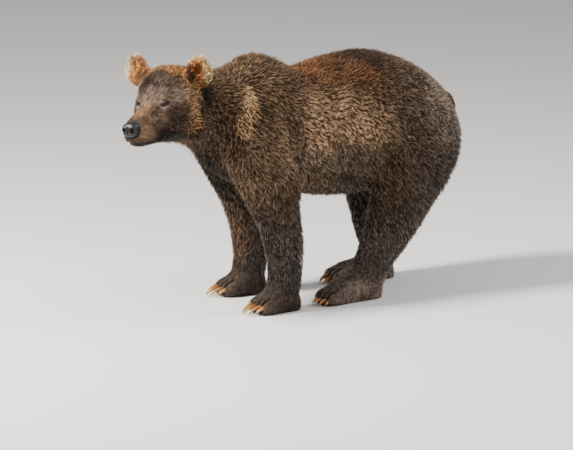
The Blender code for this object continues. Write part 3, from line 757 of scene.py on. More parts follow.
turn = (wave_turn(roots) + CHANCE_TURN * rng.normal(size=len(roots))) * (1 - EAR_CALM * on_ear[:, 0])
flat = flat * np.cos(turn)[:, None] + np.cross(root_normals, flat) * np.sin(turn)[:, None]
clump_length = clump_length * rng.uniform(0.62, 0.98, len(roots))
hanging = np.clip(off_skin, 0, 1)
height = clump_depth * rng.uniform(0.70, 1.22, len(roots)) * (1 + HANG_OUT * hanging)
run = np.sqrt(np.maximum(clump_length**2 - height**2, 0)) * (1 - HANG_SHORT * hanging)
print("longest lock", round(clump_length.max() / MM), "mm, mean", round(clump_length.mean() / MM), "mm")

# %% Walk along the skin to the middle and the tip of each clump
MIDWAY = 0.45                # share of its run where a lock has its middle
MID_RISE = 0.55              # share of its height that it has gained there
EAR_LIFT = 0.35              # how far an ear's hair stands off the skin
skin_tree = BVHTree.FromPolygons(points.tolist(), corners.tolist())


def stepped(spots, normals, ways, steps):
    """Walks along the skin: the place reached, the skin's normal there and the way on."""
    ahead = spots + ways * steps[:, None]
    found = [skin_tree.find_nearest(spot) for spot in ahead]
    place = np.array([hit[0] for hit in found])
    normal = np.array([hit[1] for hit in found])
    facing = (normal * normals).sum(axis=1) > 0.2
    near = np.linalg.norm(place - ahead, axis=1) < 0.9 * steps
    good = (facing & near)[:, None]
    place = np.where(good, place, ahead)
    normal = np.where(good, normal, normals)
    return place, normal, unit(ways - (ways * normal).sum(axis=1)[:, None] * normal)


mid_at, mid_normal, way_on = stepped(roots, root_normals, flat, run * MIDWAY)
tip_at, tip_normal, _ = stepped(mid_at, mid_normal, way_on, run * (1 - MIDWAY))
clump_mid = mid_at + mid_normal * (height * MID_RISE)[:, None]
clump_tip = tip_at + tip_normal * height[:, None]
ear_way = unit(lie + root_normals * EAR_LIFT)
straight = on_ear > 0.5
clump_mid = np.where(straight, roots + ear_way * (clump_length * MIDWAY)[:, None], clump_mid)
clump_tip = np.where(straight, roots + ear_way * clump_length[:, None], clump_tip)
print("tips stand", round(height.mean() / MM, 1), "mm off the skin on average")

# %% [markdown]
# ## Bundles
# Damp guard hairs stick together in pointed bundles about a centimetre wide, with dark gaps between
# them. So some clumps are chosen as leaders, and the clumps round each one lean towards its tip. A leader
# is light and stands a little higher, its followers are darker, and all of a bundle shares one height.
# The short hair of the face and feet forms no bundles, but it does lie in long thin flecks of one tone,
# and the skin under it takes the same flecks.

# %% Lean the clumps towards the leader of their bundle
LEADER_SHARE = 0.42          # the share of clumps that lead
GATHER_TIP = 0.38
GATHER_MID = 0.14
BUNDLE_RISE = 0.24           # how much higher or lower a bundle ends, as a share of the coat's depth
LEADER_RISE = 0.12           # and how much higher its leader does


def finder_of(spots):
    """A tree that finds the nearest of some places quickly."""
    made = KDTree(len(spots))
    for number, spot in enumerate(spots):
        made.insert(spot, number)
    made.balance()
    return made


def nearest(finder, spots):
    return np.array([finder.find(spot)[1] for spot in spots])


is_leader = rng.random(len(roots)) < LEADER_SHARE
leaders = np.flatnonzero(is_leader)
bundle = leaders[nearest(finder_of(roots[leaders]), roots)]
gather = smoothstep(0.012, 0.026, clump_length)[:, None] * (1 - on_ear)
bundle_rise = (rng.uniform(-BUNDLE_RISE, BUNDLE_RISE, len(roots)) * clump_depth)[bundle][:, None]
bundle_rise = bundle_rise + LEADER_RISE * clump_depth[:, None] * is_leader[:, None]
clump_mid = clump_mid + gather * GATHER_MID * (clump_mid[bundle] - clump_mid) + mid_normal * bundle_rise * 0.5
clump_tip = clump_tip + gather * GATHER_TIP * (clump_tip[bundle] - clump_tip) + tip_normal * bundle_rise
clump_tone = rng.random(len(roots))
print(len(leaders), "bundles")

# %% Give the clumps their tones, and the short fur its flecks
LEADER_TONE = 0.55           # leaders are the light ones, from this tone up
FOLLOWER_TONE = 0.50         # and the others the dark ones, up to this tone
FLECK_SHARE = 0.22           # short hair is toned in flecks of four or five clumps
FLECK_DRAWN = 0.70           # how much a fleck is drawn out along the lie
FLECK_PURE = 0.75            # a clump's tone comes this far from its fleck, the rest from chance
FLECK_ON_SKIN = 0.6          # how strongly the skin shows the flecks
CLEFT_PAINTED_SHADE = 0.9             # how much painted shade darkens the hair and skin between two toes


def fleck_place(spots):
    """Places squeezed along the lie, so that the nearest seed covers a long thin fleck."""
    inside = to_head(spots)
    ways = coat_at(spots)[0]
    near_head = np.linalg.norm(inside + np.array((0.05, 0, 0)), axis=1) < 0.28
    drawn = (inside * (ways @ head_axes.T)).sum(axis=1)[:, None] * ways * FLECK_DRAWN
    return np.where(near_head[:, None], spots - drawn, spots * np.array((1.0, 1.0, 0.4)))


def cleft_shade(depth):
    return 1 - CLEFT_PAINTED_SHADE * smoothstep(0.10, 0.50, depth)


seeds = np.flatnonzero(rng.random(len(roots)) < FLECK_SHARE)
fleck_finder = finder_of(fleck_place(roots[seeds]))
seed_tone = rng.random(len(seeds))


def fleck_at(spots):
    return seed_tone[nearest(fleck_finder, fleck_place(spots))]


fleck_tone = FLECK_PURE * fleck_at(roots) + (1 - FLECK_PURE) * clump_tone
skin_tone = 0.5 + (fleck_at(points) - 0.5) * FLECK_ON_SKIN * smoothstep(0.026, 0.014, lengths)
# Painted shade in the clefts between the toes, on the skin here and on the clumps below.
skin_tone *= cleft_shade(cleft)
skin.data.attributes["lock"].data.foreach_set("value", skin_tone.astype(np.float32))
in_bundle = np.where(is_leader, LEADER_TONE + (1 - LEADER_TONE) * clump_tone, FOLLOWER_TONE * clump_tone)
clump_tone = np.where(gather[:, 0] > 0.3, in_bundle, fleck_tone)
clump_tone *= cleft_shade(cleft[corners[root_faces]].mean(axis=1))
print(len(seeds), "flecks, mean tone of the clumps", round(float(clump_tone.mean()), 2))

# %% [markdown]
# ## Pieces of the coat
# A coat of this many locks is too heavy for one mesh, so it is parted like the body under it. Each
# clump belongs to the node that its root lies nearest to. The trunk is parted again into shoulders and
# rump, left and right, and the face is parted from the rest of the head.

# %% Give each clump to a piece
PIECE_NODES = {
    "coat_head": ("head", "lower_jaw"),
    "coat_face": (),
    "coat_ears": ("ear_left", "ear_right"),
    "coat_neck": ("neck",),
    "coat_fore_left": ("upper_arm_left", "forearm_left", "fore_paw_left"),
    "coat_fore_right": ("upper_arm_right", "forearm_right", "fore_paw_right"),
    "coat_thigh_left": ("thigh_left",),
    "coat_thigh_right": ("thigh_right",),
    "coat_shank_left": ("shank_left", "hind_paw_left"),
    "coat_shank_right": ("shank_right", "hind_paw_right"),
}
TRUNK_PIECES = ("coat_shoulder_left", "coat_shoulder_right", "coat_rump_left", "coat_rump_right")
TRUNK_SPLIT = 0.20           # y of the parting between shoulder and rump
FACE_FROM = -0.045           # the face is what lies further forward than this from the eyes' line


def nearest_nodes(spots):
    """The name of the node of flesh that each place lies nearest to."""
    vertices, faces, owner = [], [], []
    for name in FLESH:
        mesh = nodes[name].data
        start = len(vertices)
        vertices += [tuple(vert.co) for vert in mesh.vertices]
        faces += [tuple(start + index for index in face.vertices) for face in mesh.polygons]
        owner += [name] * len(mesh.polygons)
    tree = BVHTree.FromPolygons(vertices, faces)
    return [owner[tree.find_nearest(spot)[2]] for spot in spots]


piece_of_node = {name: piece for piece, names in PIECE_NODES.items() for name in names}
piece_names = [*PIECE_NODES, *TRUNK_PIECES]
piece_number = np.empty(len(roots), int)
for number, (owner, root) in enumerate(zip(nearest_nodes(roots), roots)):
    part = "shoulder" if root[1] < TRUNK_SPLIT else "rump"
    side = "left" if root[0] > 0 else "right"
    piece_number[number] = piece_names.index(piece_of_node.get(owner, f"coat_{part}_{side}"))
in_face = (piece_number == piece_names.index("coat_head")) & (to_head(roots)[:, 0] > FACE_FROM)
piece_number[in_face] = piece_names.index("coat_face")
print("clumps in each piece:", dict(zip(piece_names, np.bincount(piece_number).tolist())))

# %% [markdown]
# ## The shape of one lock
# A lock is a long thin solid: a point in the skin, a three-sided belly near its middle, and a point
# again at its tip. That takes six triangles. The very short hairs of the face and feet need no bend,
# so each is a plain spike of four. A second, thinner lock beside each long one fills the gaps.

# %% Split the clumps into locks
SPIKE_BELOW = 0.011          # clumps shorter than this are single spikes
LOCK_WIDTH = 0.066           # share of the lock's length
WIDTH_LEAST = 0.0006         # and what every lock has besides
SECOND_WIDTH = 0.62          # the second lock's width, as a share of the first one's
SECOND_DRIFT = 0.65          # how far aside it starts, as a share of the clumps' spacing
SECOND_TONE = 0.55           # it is dark, up to this tone, as painted shade in the gaps it fills
SWAY = 0.35                  # how far a lock's middle swings aside, as a share of the spacing


def locks_of(chosen):
    """Clump, root, middle, tip, way across, width and tone of all the locks of some clumps."""
    many = np.where(clump_length[chosen] < SPIKE_BELOW, 1, 2)
    parent = np.repeat(chosen, many)
    second = np.zeros(len(parent), bool)
    second[np.cumsum(many)[many == 2] - 1] = True
    spread = spacing_of(clump_length[parent])
    across = np.cross(root_normals[parent], flat[parent])
    drift = rng.normal(size=(len(parent), 2)) * (spread * SECOND_DRIFT * second)[:, None]
    shift = across * drift[:, :1] + flat[parent] * drift[:, 1:]
    stretch = rng.uniform(0.80, 1.02, (len(parent), 1))
    root = roots[parent] + shift
    mid = clump_mid[parent] + shift * 0.8
    tip = root + (clump_tip[parent] + shift * 0.5 - root) * stretch
    sway = across * rng.normal(size=(len(parent), 1)) * spread[:, None] * SWAY
    width = (LOCK_WIDTH * clump_length[parent] + WIDTH_LEAST) * np.where(second, SECOND_WIDTH, 1.0)
    tone = np.where(second, SECOND_TONE * rng.random(len(parent)), clump_tone[parent])
    return parent, root, mid + sway, tip - sway * 0.5, across, width, tone


def ring(centres, across, up, width, thick):
    """Three corners round each centre: two low ones and a crest."""
    wide = across * (width / 2)[:, None]
    high = up * thick[:, None]
    return np.stack([centres - wide - high * 0.4, centres + wide - high * 0.4, centres + high * 0.6], axis=1)


print((clump_length < SPIKE_BELOW).sum(), "clumps are single spikes")

# %% A map of the coat, with one small patch for each lock
PATCH = 0.003                # side of a lock's patch on the map
HEAD_PIECES = ("coat_head", "coat_face", "coat_ears")


def unwrapped(spots, piece):
    """Each root's place on an unwrap of the skin: round the limb or trunk, and along it."""
    if piece in HEAD_PIECES:
        place = to_head(spots)
        turn, along = np.arctan2(place[:, 1], place[:, 2] + 0.06), place[:, 0]
    elif piece in ("coat_neck", *TRUNK_PIECES):
        turn, along = np.arctan2(spots[:, 0], spots[:, 2] - 0.65), spots[:, 1]
    else:
        inside = spots[:, :2] - spots[:, :2].mean(axis=0)
        turn, along = np.arctan2(inside[:, 0], inside[:, 1]), spots[:, 2]
    flat_map = np.column_stack([turn, along])
    low, high = flat_map.min(axis=0), flat_map.max(axis=0)
    return PATCH + (1 - 2 * PATCH) * (flat_map - low) / (high - low)


def coat_object(name, vertices, triangles, uv, values):
    """An object from arrays. That is much faster than adding its faces one by one."""
    mesh = bpy.data.meshes.new(name)
    mesh.vertices.add(len(vertices))
    mesh.vertices.foreach_set("co", vertices.astype(np.float32).ravel())
    mesh.loops.add(triangles.size)
    mesh.loops.foreach_set("vertex_index", triangles.astype(np.int32).ravel())
    mesh.polygons.add(len(triangles))
    mesh.polygons.foreach_set("loop_start", np.arange(0, triangles.size, 3, dtype=np.int32))
    shade_smooth(mesh)
    layer = mesh.uv_layers.new(name="OFBake")
    layer.data.foreach_set("uv", uv[triangles.ravel()].astype(np.float32).ravel())
    mesh.update(calc_edges=True)
    give(mesh, **values)
    return in_scene(name, mesh)


# %% Build the pieces of the coat
ROOT_SINK = 0.0008           # how deep a lock starts in the skin
FLOOR_GAP = 0.0004           # no lock reaches below this height
# The faces of a lock by its corners' numbers, how far along it each corner is, and its places on the patch.
LONG = (((0, 1, 2), (0, 2, 3), (0, 3, 1), (1, 4, 2), (2, 4, 3), (3, 4, 1)), (0, 0.5, 0.5, 0.5, 1.0),
        ((0, -1), (-1, 0), (1, 0), (0, 0.3), (0, 1)))
SHORT = (((0, 2, 1), (0, 1, 3), (1, 2, 3), (2, 0, 3)), (0, 0, 0, 1.0), ((-1, -1), (1, -1), (0, -0.6), (0, 1)))


def coat_piece(name, chosen):
    parent, root, mid, tip, across, width, tone = locks_of(chosen)
    start = root - root_normals[parent] * ROOT_SINK
    base = ring(start, across, root_normals[parent], width * 0.8, width * 0.35)
    belly = ring(mid, across, mid_normal[parent], width, width * 0.50)
    point, end = start[:, None, :], tip[:, None, :]
    map_place = unwrapped(root, name)
    chance = rng.random(len(parent))
    short = clump_length[parent] < SPIKE_BELOW
    parts = []
    begun = 0
    shapes = ((~short, (point, belly, end), LONG), (short, (base, end), SHORT))
    for these, shape, (faces, along, patch) in shapes:
        vertices = np.concatenate([piece[these] for piece in shape], axis=1)
        many, each = vertices.shape[:2]
        triangles = begun + np.arange(many)[:, None, None] * each + np.array(faces)
        uv = map_place[these][:, None, :] + np.array(patch) * (PATCH / 2)
        parts.append((vertices.reshape(-1, 3), triangles.reshape(-1, 3), uv.reshape(-1, 2),
                      np.repeat(root[these], each, axis=0), np.tile(along, many),
                      np.repeat(chance[these], each), np.repeat(tone[these], each)))
        begun += many * each
    vertices, triangles, uv, *values = (np.concatenate(arrays) for arrays in zip(*parts))
    vertices[:, 2] = np.maximum(vertices[:, 2], FLOOR_GAP)
    values = dict(zip(("place", "along", "chance", "lock"), values))
    thing = coat_object(name, vertices, triangles, uv, values)
    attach(thing, "root")
    print(name, len(parent), "locks,", len(triangles), "triangles")
    return thing


coats = [coat_piece(name, np.flatnonzero(piece_number == number)) for number, name in enumerate(piece_names)]
print("whole coat", sum(len(coat.data.polygons) for coat in coats), "triangles")

# %% [markdown]
# ## Colours shared by skin and coat
# A grizzly is many browns at once: golden tips over a dark undercoat, a paler face, near-black legs.
# Skin and coat must agree on them, so one node group works them out from a place on the body. It lays
# soft patches over a base brown, as a painter would; a few of them are painted shadows and highlights.
# Then it darkens each lock towards its root, where little light gets in, and lightens it towards its
# tip, partly as a painted sheen, and gives a few locks painted glints.

# %% Patches on the body: x, y, z, radii, colour, strength, and 2 where both sides have one
BASE_BROWN = (0.100, 0.058, 0.032)
BODY_PATCHES = (
    (0.0, -0.22, 0.90, 0.24, 0.26, 0.13, (0.176, 0.106, 0.056), 0.8, 1),        # neck and hump
    (0.0, 0.20, 0.89, 0.28, 0.24, 0.13, (0.190, 0.078, 0.029), 0.9, 1),         # reddish saddle
    (0.0, 0.38, 0.94, 0.28, 0.22, 0.10, (0.034, 0.018, 0.010), 0.90, 1),        # darker loin
    (0.22, 0.08, 0.68, 0.20, 0.28, 0.16, (0.480, 0.300, 0.175), 0.9, 2),        # tan flank
    (0.21, -0.05, 0.65, 0.07, 0.05, 0.15, (0.100, 0.066, 0.043), 0.75, 2),      # shade behind the shoulder
    (0.22, 0.13, 0.555, 0.12, 0.20, 0.080, (0.085, 0.070, 0.060), 0.75, 2),     # greyer low flank
    (0.18, 0.14, 0.470, 0.14, 0.22, 0.050, (0.060, 0.045, 0.036), 0.80, 2),     # and darker towards the belly
    (0.0, 0.50, 0.72, 0.42, 0.22, 0.20, (0.185, 0.127, 0.090), 0.8, 1),         # haunches
    (0.19, 0.61, 0.72, 0.13, 0.10, 0.15, (0.340, 0.260, 0.200), 0.85, 2),       # paler rump, a painted sheen on the fur
    (0.0, 0.65, 0.42, 0.42, 0.30, 0.28, (0.080, 0.065, 0.056), 0.9, 1),         # hams
    (0.0, 0.08, 0.40, 0.14, 0.40, 0.10, (0.024, 0.016, 0.011), 0.8, 1),         # belly
    (0.18, -0.20, 0.58, 0.12, 0.16, 0.14, (0.220, 0.140, 0.085), 0.7, 2),       # upper arm
    (0.16, 0.05, 0.50, 0.12, 0.09, 0.05, (0.155, 0.095, 0.052), 0.8, 2),        # behind the elbow
    (0.0, -0.10, 0.12, 0.42, 0.34, 0.32, (0.124, 0.100, 0.088), 0.9, 1),        # fore legs
    (0.0, 0.45, 0.10, 0.42, 0.40, 0.28, (0.175, 0.140, 0.122), 0.9, 1),         # hind legs
    (0.0, 0.42, 0.02, 0.42, 0.40, 0.10, (0.490, 0.370, 0.295), 0.9, 1),         # hind feet
    (0.0, -0.16, 0.02, 0.42, 0.34, 0.09, (0.118, 0.083, 0.064), 0.9, 1),        # fore feet
    (0.14, -0.42, 0.64, 0.13, 0.12, 0.10, (0.038, 0.022, 0.012), 0.78, 2),      # lower neck
    (0.0, -0.30, 0.535, 0.15, 0.16, 0.115, (0.006, 0.004, 0.003), 0.97, 1),     # painted shadow between the fore legs, under the chest
    (-0.15, -0.24, 0.49, 0.09, 0.11, 0.10, (0.010, 0.007, 0.005), 0.9, 1),      # painted shadow of the head and neck on the right arm's front
    (-0.16, -0.17, 0.24, 0.12, 0.14, 0.15, (0.250, 0.145, 0.090), 0.88, 1),     # right foreleg painted redder and lighter, as painted sunlight below the head's shadow
    (0.20, -0.09, 0.745, 0.10, 0.09, 0.070, (0.100, 0.063, 0.038), 0.55, 2),    # shoulder behind the streak
    (0.165, -0.130, 0.850, 0.07, 0.075, 0.07, (0.250, 0.155, 0.085), 0.65, 2),  # lighter slope of the hump
    (0.165, -0.230, 0.815, 0.06, 0.026, 0.080, (0.95, 0.60, 0.31), 0.72, 2),    # pale blond streak on the shoulder, lightened further as a painted highlight
    (0.175, -0.262, 0.735, 0.06, 0.024, 0.055, (0.80, 0.50, 0.26), 0.55, 2),    # and its lower end, also partly a painted highlight
)
print(len(BODY_PATCHES), "patches on the body")

# %% Patches on the head: forward, left, up from the eyes' line, and the rest as on the body
HEAD_PATCHES = (
    (-0.040, 0.000, 0.000, 0.100, 0.120, 0.120, (0.175, 0.118, 0.087), 0.95, 1),   # greyish face
    (-0.045, 0.095, 0.035, 0.040, 0.036, 0.040, (0.450, 0.330, 0.255), 0.75, 2),   # paler temple
    (0.060, 0.000, -0.015, 0.085, 0.036, 0.034, (0.30, 0.175, 0.098), 0.95, 1),    # pale bridge
    (0.060, 0.040, -0.045, 0.034, 0.022, 0.020, (0.33, 0.200, 0.120), 0.85, 2),    # under the eye
    (0.110, 0.034, -0.080, 0.050, 0.030, 0.034, (0.210, 0.130, 0.074), 0.90, 2),   # side of the muzzle
    (0.008, 0.062, -0.014, 0.012, 0.012, 0.006, (0.460, 0.330, 0.280), 0.90, 2),   # painted highlight of the wet lower lid, below the eye
    (0.025, 0.040, -0.012, 0.012, 0.009, 0.007, (0.020, 0.014, 0.011), 0.90, 2),   # corner of the eye
    (0.048, 0.040, -0.030, 0.026, 0.010, 0.014, (0.070, 0.044, 0.030), 0.80, 2),   # painted shade in the groove from there along the nose
    (0.012, 0.058, 0.014, 0.016, 0.016, 0.006, (0.018, 0.013, 0.010), 0.92, 2),    # painted shadow of the brow, above the upper lid
    (-0.025, 0.085, -0.060, 0.045, 0.040, 0.045, (0.105, 0.062, 0.037), 0.90, 2),  # cheek
    (-0.025, 0.055, -0.118, 0.080, 0.060, 0.034, (0.008, 0.006, 0.005), 0.98, 2),  # painted shadow under the jaw
    (0.110, 0.000, -0.145, 0.060, 0.050, 0.014, (0.030, 0.020, 0.015), 0.90, 1),   # chin
    (0.100, 0.016, -0.138, 0.068, 0.046, 0.013, (0.006, 0.005, 0.004), 0.96, 2),   # black lower lip
    (-0.105, 0.000, 0.110, 0.050, 0.110, 0.040, (0.62, 0.310, 0.112), 0.95, 1),    # golden crown
    (-0.094, 0.112, 0.030, 0.036, 0.044, 0.062, (0.60, 0.350, 0.180), 0.90, 2),    # ruff behind the cheek
    (-0.086, 0.122, -0.062, 0.036, 0.046, 0.050, (0.520, 0.285, 0.130), 0.75, 2),  # lower ruff
    (-0.160, 0.125, 0.030, 0.030, 0.045, 0.070, (0.014, 0.009, 0.006), 0.95, 2),   # painted shadow of the ear, behind it
    (-0.117, 0.134, 0.100, 0.050, 0.062, 0.064, (0.50, 0.200, 0.055), 1.00, 2),    # orange ear
    (-0.122, 0.178, 0.104, 0.042, 0.030, 0.070, (0.92, 0.66, 0.34), 0.85, 2),      # cream outer fringe
    (-0.120, 0.136, 0.164, 0.042, 0.060, 0.026, (0.90, 0.64, 0.33), 0.85, 2),      # cream upper fringe
    (-0.104, 0.130, 0.096, 0.028, 0.030, 0.036, (0.440, 0.150, 0.035), 0.88, 1),   # hollow of the near ear
    (-0.088, 0.112, 0.108, 0.018, 0.015, 0.036, (0.090, 0.036, 0.014), 0.88, 1),   # its inner edge
    (-0.086, 0.121, 0.076, 0.016, 0.016, 0.014, (0.008, 0.005, 0.004), 0.95, 1),   # notch at its foot
    (-0.096, -0.116, 0.080, 0.018, 0.014, 0.026, (0.110, 0.045, 0.018), 0.80, 1),  # hollow of the far ear
    (-0.012, -0.046, 0.052, 0.034, 0.026, 0.032, (0.028, 0.018, 0.013), 0.92, 1),  # dark band, from the brow
    (-0.036, -0.034, 0.078, 0.030, 0.030, 0.028, (0.036, 0.023, 0.016), 0.90, 1),  # over the forehead
    (-0.056, -0.004, 0.098, 0.024, 0.034, 0.020, (0.060, 0.040, 0.028), 0.80, 1),  # to its middle
)
print(len(HEAD_PATCHES), "patches on the head")


# %% Small tools for shader nodes
def node(tree, kind, **settings):
    made = tree.nodes.new(kind)
    for key, value in settings.items():
        setattr(made, key, value)
    return made


def feed(tree, target, value):
    """Links an output to an input, or sets the input to a number, a vector or a colour."""
    if isinstance(value, bpy.types.NodeSocket):
        tree.links.new(value, target)
    else:
        target.default_value = (*value, 1.0) if target.type == "RGBA" else value


def math_node(tree, operation, first, second=0.0):
    made = node(tree, "ShaderNodeMath", operation=operation)
    feed(tree, made.inputs[0], first)
    feed(tree, made.inputs[1], second)
    return made.outputs[0]


def product(tree, first, second):
    return math_node(tree, "MULTIPLY", first, second)


def vector_math(tree, operation, *values):
    made = node(tree, "ShaderNodeVectorMath", operation=operation)
    for target, value in zip(made.inputs, values):
        feed(tree, target, value)
    return made.outputs["Value" if operation in ("LENGTH", "DOT_PRODUCT") else "Vector"]


def scaled(tree, colour, factor):
    made = node(tree, "ShaderNodeVectorMath", operation="SCALE")
    feed(tree, made.inputs["Vector"], colour)
    feed(tree, made.inputs["Scale"], factor)
    return made.outputs["Vector"]


def ranged(tree, value, low, high, to_low=0.0, to_high=1.0):
    """A value eased from one range into another."""
    made = node(tree, "ShaderNodeMapRange", interpolation_type="SMOOTHSTEP")
    ends = {"Value": value, "From Min": low, "From Max": high, "To Min": to_low, "To Max": to_high}
    for key, end in ends.items():
        feed(tree, made.inputs[key], end)
    return made.outputs["Result"]


def mixed(tree, share, first, second):
    """The first colour where the share is 0, the second one where it is 1."""
    made = node(tree, "ShaderNodeMix", data_type="RGBA")
    for name, value in (("Factor", share), ("A", first), ("B", second)):
        feed(tree, [one for one in made.inputs if one.name == name and one.enabled][0], value)
    return [one for one in made.outputs if one.enabled][0]


def noise(tree, place, scale, detail=2.0):
    made = node(tree, "ShaderNodeTexNoise")
    for key, value in (("Vector", place), ("Scale", scale), ("Detail", detail)):
        feed(tree, made.inputs[key], value)
    return made.outputs


def parts_of(tree, vector):
    made = node(tree, "ShaderNodeSeparateXYZ")
    feed(tree, made.inputs[0], vector)
    return list(made.outputs)


def combined(tree, parts):
    made = node(tree, "ShaderNodeCombineXYZ")
    for target, part in zip(made.inputs, parts):
        feed(tree, target, part)
    return made.outputs[0]


# %% Where a place lies on the body and on the head
def wandered(tree, place, scale, reach):
    """The place moved about by noise, so that a patch gets a ragged edge, and the noise itself."""
    drift = noise(tree, place, scale, 3.0)
    middle_out = vector_math(tree, "SUBTRACT", drift["Color"], (0.5, 0.5, 0.5))
    moved = vector_math(tree, "MULTIPLY", middle_out, (reach, reach, reach))
    return vector_math(tree, "ADD", moved, place), drift["Fac"]


def head_place(tree, place):
    """Forward, left and up from the eyes' line, as the combed places of the head give it."""
    gap = vector_math(tree, "SUBTRACT", place, tuple(head_origin))
    return combined(tree, [vector_math(tree, "DOT_PRODUCT", gap, tuple(axis)) for axis in head_axes])


def height_of(tree, place):
    return parts_of(tree, place)[2]


def folded(tree, place, axis):
    """The place with its left and right sides laid on each other, so one patch paints both."""
    parts = parts_of(tree, place)
    parts[axis] = math_node(tree, "ABSOLUTE", parts[axis])
    return combined(tree, parts)


# %% Lay soft patches of colour over one another
def patch_mask(tree, place, centre, radii):
    """1 inside a soft ellipsoid, 0 outside it."""
    local = node(tree, "ShaderNodeMapping", vector_type="TEXTURE")
    for key, value in (("Vector", place), ("Location", centre), ("Scale", radii)):
        feed(tree, local.inputs[key], value)
    return ranged(tree, vector_math(tree, "LENGTH", local.outputs[0]), 0.55, 1.25, 1.0, 0.0)


def painted(tree, place, rows, colour, axis):
    """Adds a table of patches. Those of both sides are laid on the place folded along an axis."""
    both_sides = folded(tree, place, axis)
    for row in rows:
        centre, radii, paint, strength, sides = row[:3], row[3:6], *row[6:]
        mask = patch_mask(tree, both_sides if sides == 2 else place, centre, radii)
        colour = mixed(tree, product(tree, mask, strength), colour, paint)
    return colour


# %% Tones, tips and glints of the locks
GOLD = (0.62, 0.40, 0.22)    # the golden tips on the body, lightened as a painted sheen
PALE = (0.50, 0.43, 0.37)    # and on the legs, a painted highlight of wet hair
GLINT = (0.86, 0.78, 0.69)   # painted glints of wet hair, on the grizzled tips that give a grizzly its name
TIP_GAIN = 4.2               # how much lighter the end of a lock is than its middle, partly as painted sheen
GLINT_GAIN = 1.4             # and a glint than such an end


def lock_tone(tree, given, blotches):
    """How light a lock is: by its blotch of the coat, by its own tone and a little by chance."""
    own = ranged(tree, given["Lock"], 0.0, 1.0, 0.22, 1.40)
    tone = product(tree, ranged(tree, blotches, 0.35, 0.65, 0.75, 1.25), own)
    return product(tree, tone, ranged(tree, given["Chance"], 0.0, 1.0, 0.80, 1.20))


def tip_share(tree, given, high):
    """Light tips, partly a painted sheen, on the lighter locks only, and less on the legs."""
    tip = product(tree, ranged(tree, given["Along"], 0.62, 0.92), ranged(tree, given["Lock"], 0.35, 0.90))
    tip = product(tree, tip, given["Tip Gold"])
    return product(tree, tip, ranged(tree, high, 0.0, 1.0, 0.75, 1.0))


def glint_share(tree, given, on_head):
    """Painted glints of wet hair, on grizzled tips, on one lock in fourteen, but not on the face."""
    glint = product(tree, ranged(tree, given["Chance"], 0.92, 0.94), ranged(tree, given["Along"], 0.60, 0.85))
    head_reach = vector_math(tree, "LENGTH", on_head)
    glint = product(tree, glint, ranged(tree, head_reach, 0.18, 0.30))
    return product(tree, glint, given["Glint"])


# %% Build the group of markings
GROUP_SOCKETS = (
    ("Place", "INPUT", "Vector"), ("Along", "INPUT", "Float"), ("Chance", "INPUT", "Float"),
    ("Lock", "INPUT", "Float"), ("Root Shade", "INPUT", "Float"), ("Tip Gold", "INPUT", "Float"),
    ("Glint", "INPUT", "Float"), ("Colour", "OUTPUT", "Color"), ("Roughness", "OUTPUT", "Float"),
)


def markings_group():
    tree = bpy.data.node_groups.new("bear_markings", "ShaderNodeTree")
    for name, way, kind in GROUP_SOCKETS:
        tree.interface.new_socket(name=name, in_out=way, socket_type="NodeSocket" + kind)
    given = node(tree, "NodeGroupInput").outputs
    out = node(tree, "NodeGroupOutput")
    on_body, blotches = wandered(tree, given["Place"], 14.0, 0.10)
    on_head, _ = wandered(tree, head_place(tree, given["Place"]), 70.0, 0.018)
    colour = painted(tree, on_body, BODY_PATCHES, BASE_BROWN, axis=0)
    colour = painted(tree, on_head, HEAD_PATCHES, colour, axis=1)
    tone = lock_tone(tree, given, blotches)
    root_shade = ranged(tree, given["Along"], 0.15, 0.80, given["Root Shade"])
    toned = scaled(tree, colour, product(tree, tone, root_shade))
    high = ranged(tree, height_of(tree, given["Place"]), 0.30, 0.60)
    light = mixed(tree, 0.22, scaled(tree, colour, TIP_GAIN), mixed(tree, high, PALE, GOLD))
    coloured = mixed(tree, tip_share(tree, given, high), toned, light)
    painted_glint = mixed(tree, 0.30, scaled(tree, colour, TIP_GAIN * GLINT_GAIN), mixed(tree, high, GLINT, GOLD))
    feed(tree, out.inputs["Colour"], mixed(tree, glint_share(tree, given, on_head), coloured, painted_glint))
    # The lowest hair is wet, so it is glossier.
    wet = ranged(tree, height_of(tree, given["Place"]), 0.06, 0.16, 0.68, 1.0)
    rough = ranged(tree, given["Chance"], 0.0, 1.0, 0.60, 0.38)
    feed(tree, out.inputs["Roughness"], product(tree, rough, wet))
    return tree


markings = markings_group()
print("markings group of", len(markings.nodes), "nodes")

# %% [markdown]
# ## Finishes of the coat and the skin
# Hair is glossy only along its length and skin under fur is dull, so both get a rough Principled shader
# with little specular light. The coat takes its colour and roughness straight from the markings. The
# skin uses the same group with darker roots and no tips, and adds a noise that is drawn out along the
# fur. As bump and as tone it gives the hairs of the muzzle and feet, which are too fine to model.


# %% Tools for materials
def new_material(name):
    made = bpy.data.materials.new(name)
    made.use_nodes = True
    return made, made.node_tree, made.node_tree.nodes["Principled BSDF"]


def finish(things, material):
    for thing in things:
        thing.data.materials.clear()
        thing.data.materials.append(material)


def read(tree, name, output="Fac"):
    """A value that the mesh carries by name."""
    return node(tree, "ShaderNodeAttribute", attribute_name=name).outputs[output]


def with_markings(tree, root_shade, tip_gold, glint):
    made = node(tree, "ShaderNodeGroup", node_tree=markings)
    feed(tree, made.inputs["Place"], read(tree, "place", "Vector"))
    for key in ("Along", "Chance", "Lock"):
        feed(tree, made.inputs[key], read(tree, key.lower()))
    for key, value in (("Root Shade", root_shade), ("Tip Gold", tip_gold), ("Glint", glint)):
        feed(tree, made.inputs[key], value)
    return made.outputs


def with_bump(tree, shader, height, strength, distance):
    bump = node(tree, "ShaderNodeBump")
    for key, value in (("Strength", strength), ("Distance", distance), ("Height", height)):
        feed(tree, bump.inputs[key], value)
    feed(tree, shader.inputs["Normal"], bump.outputs["Normal"])


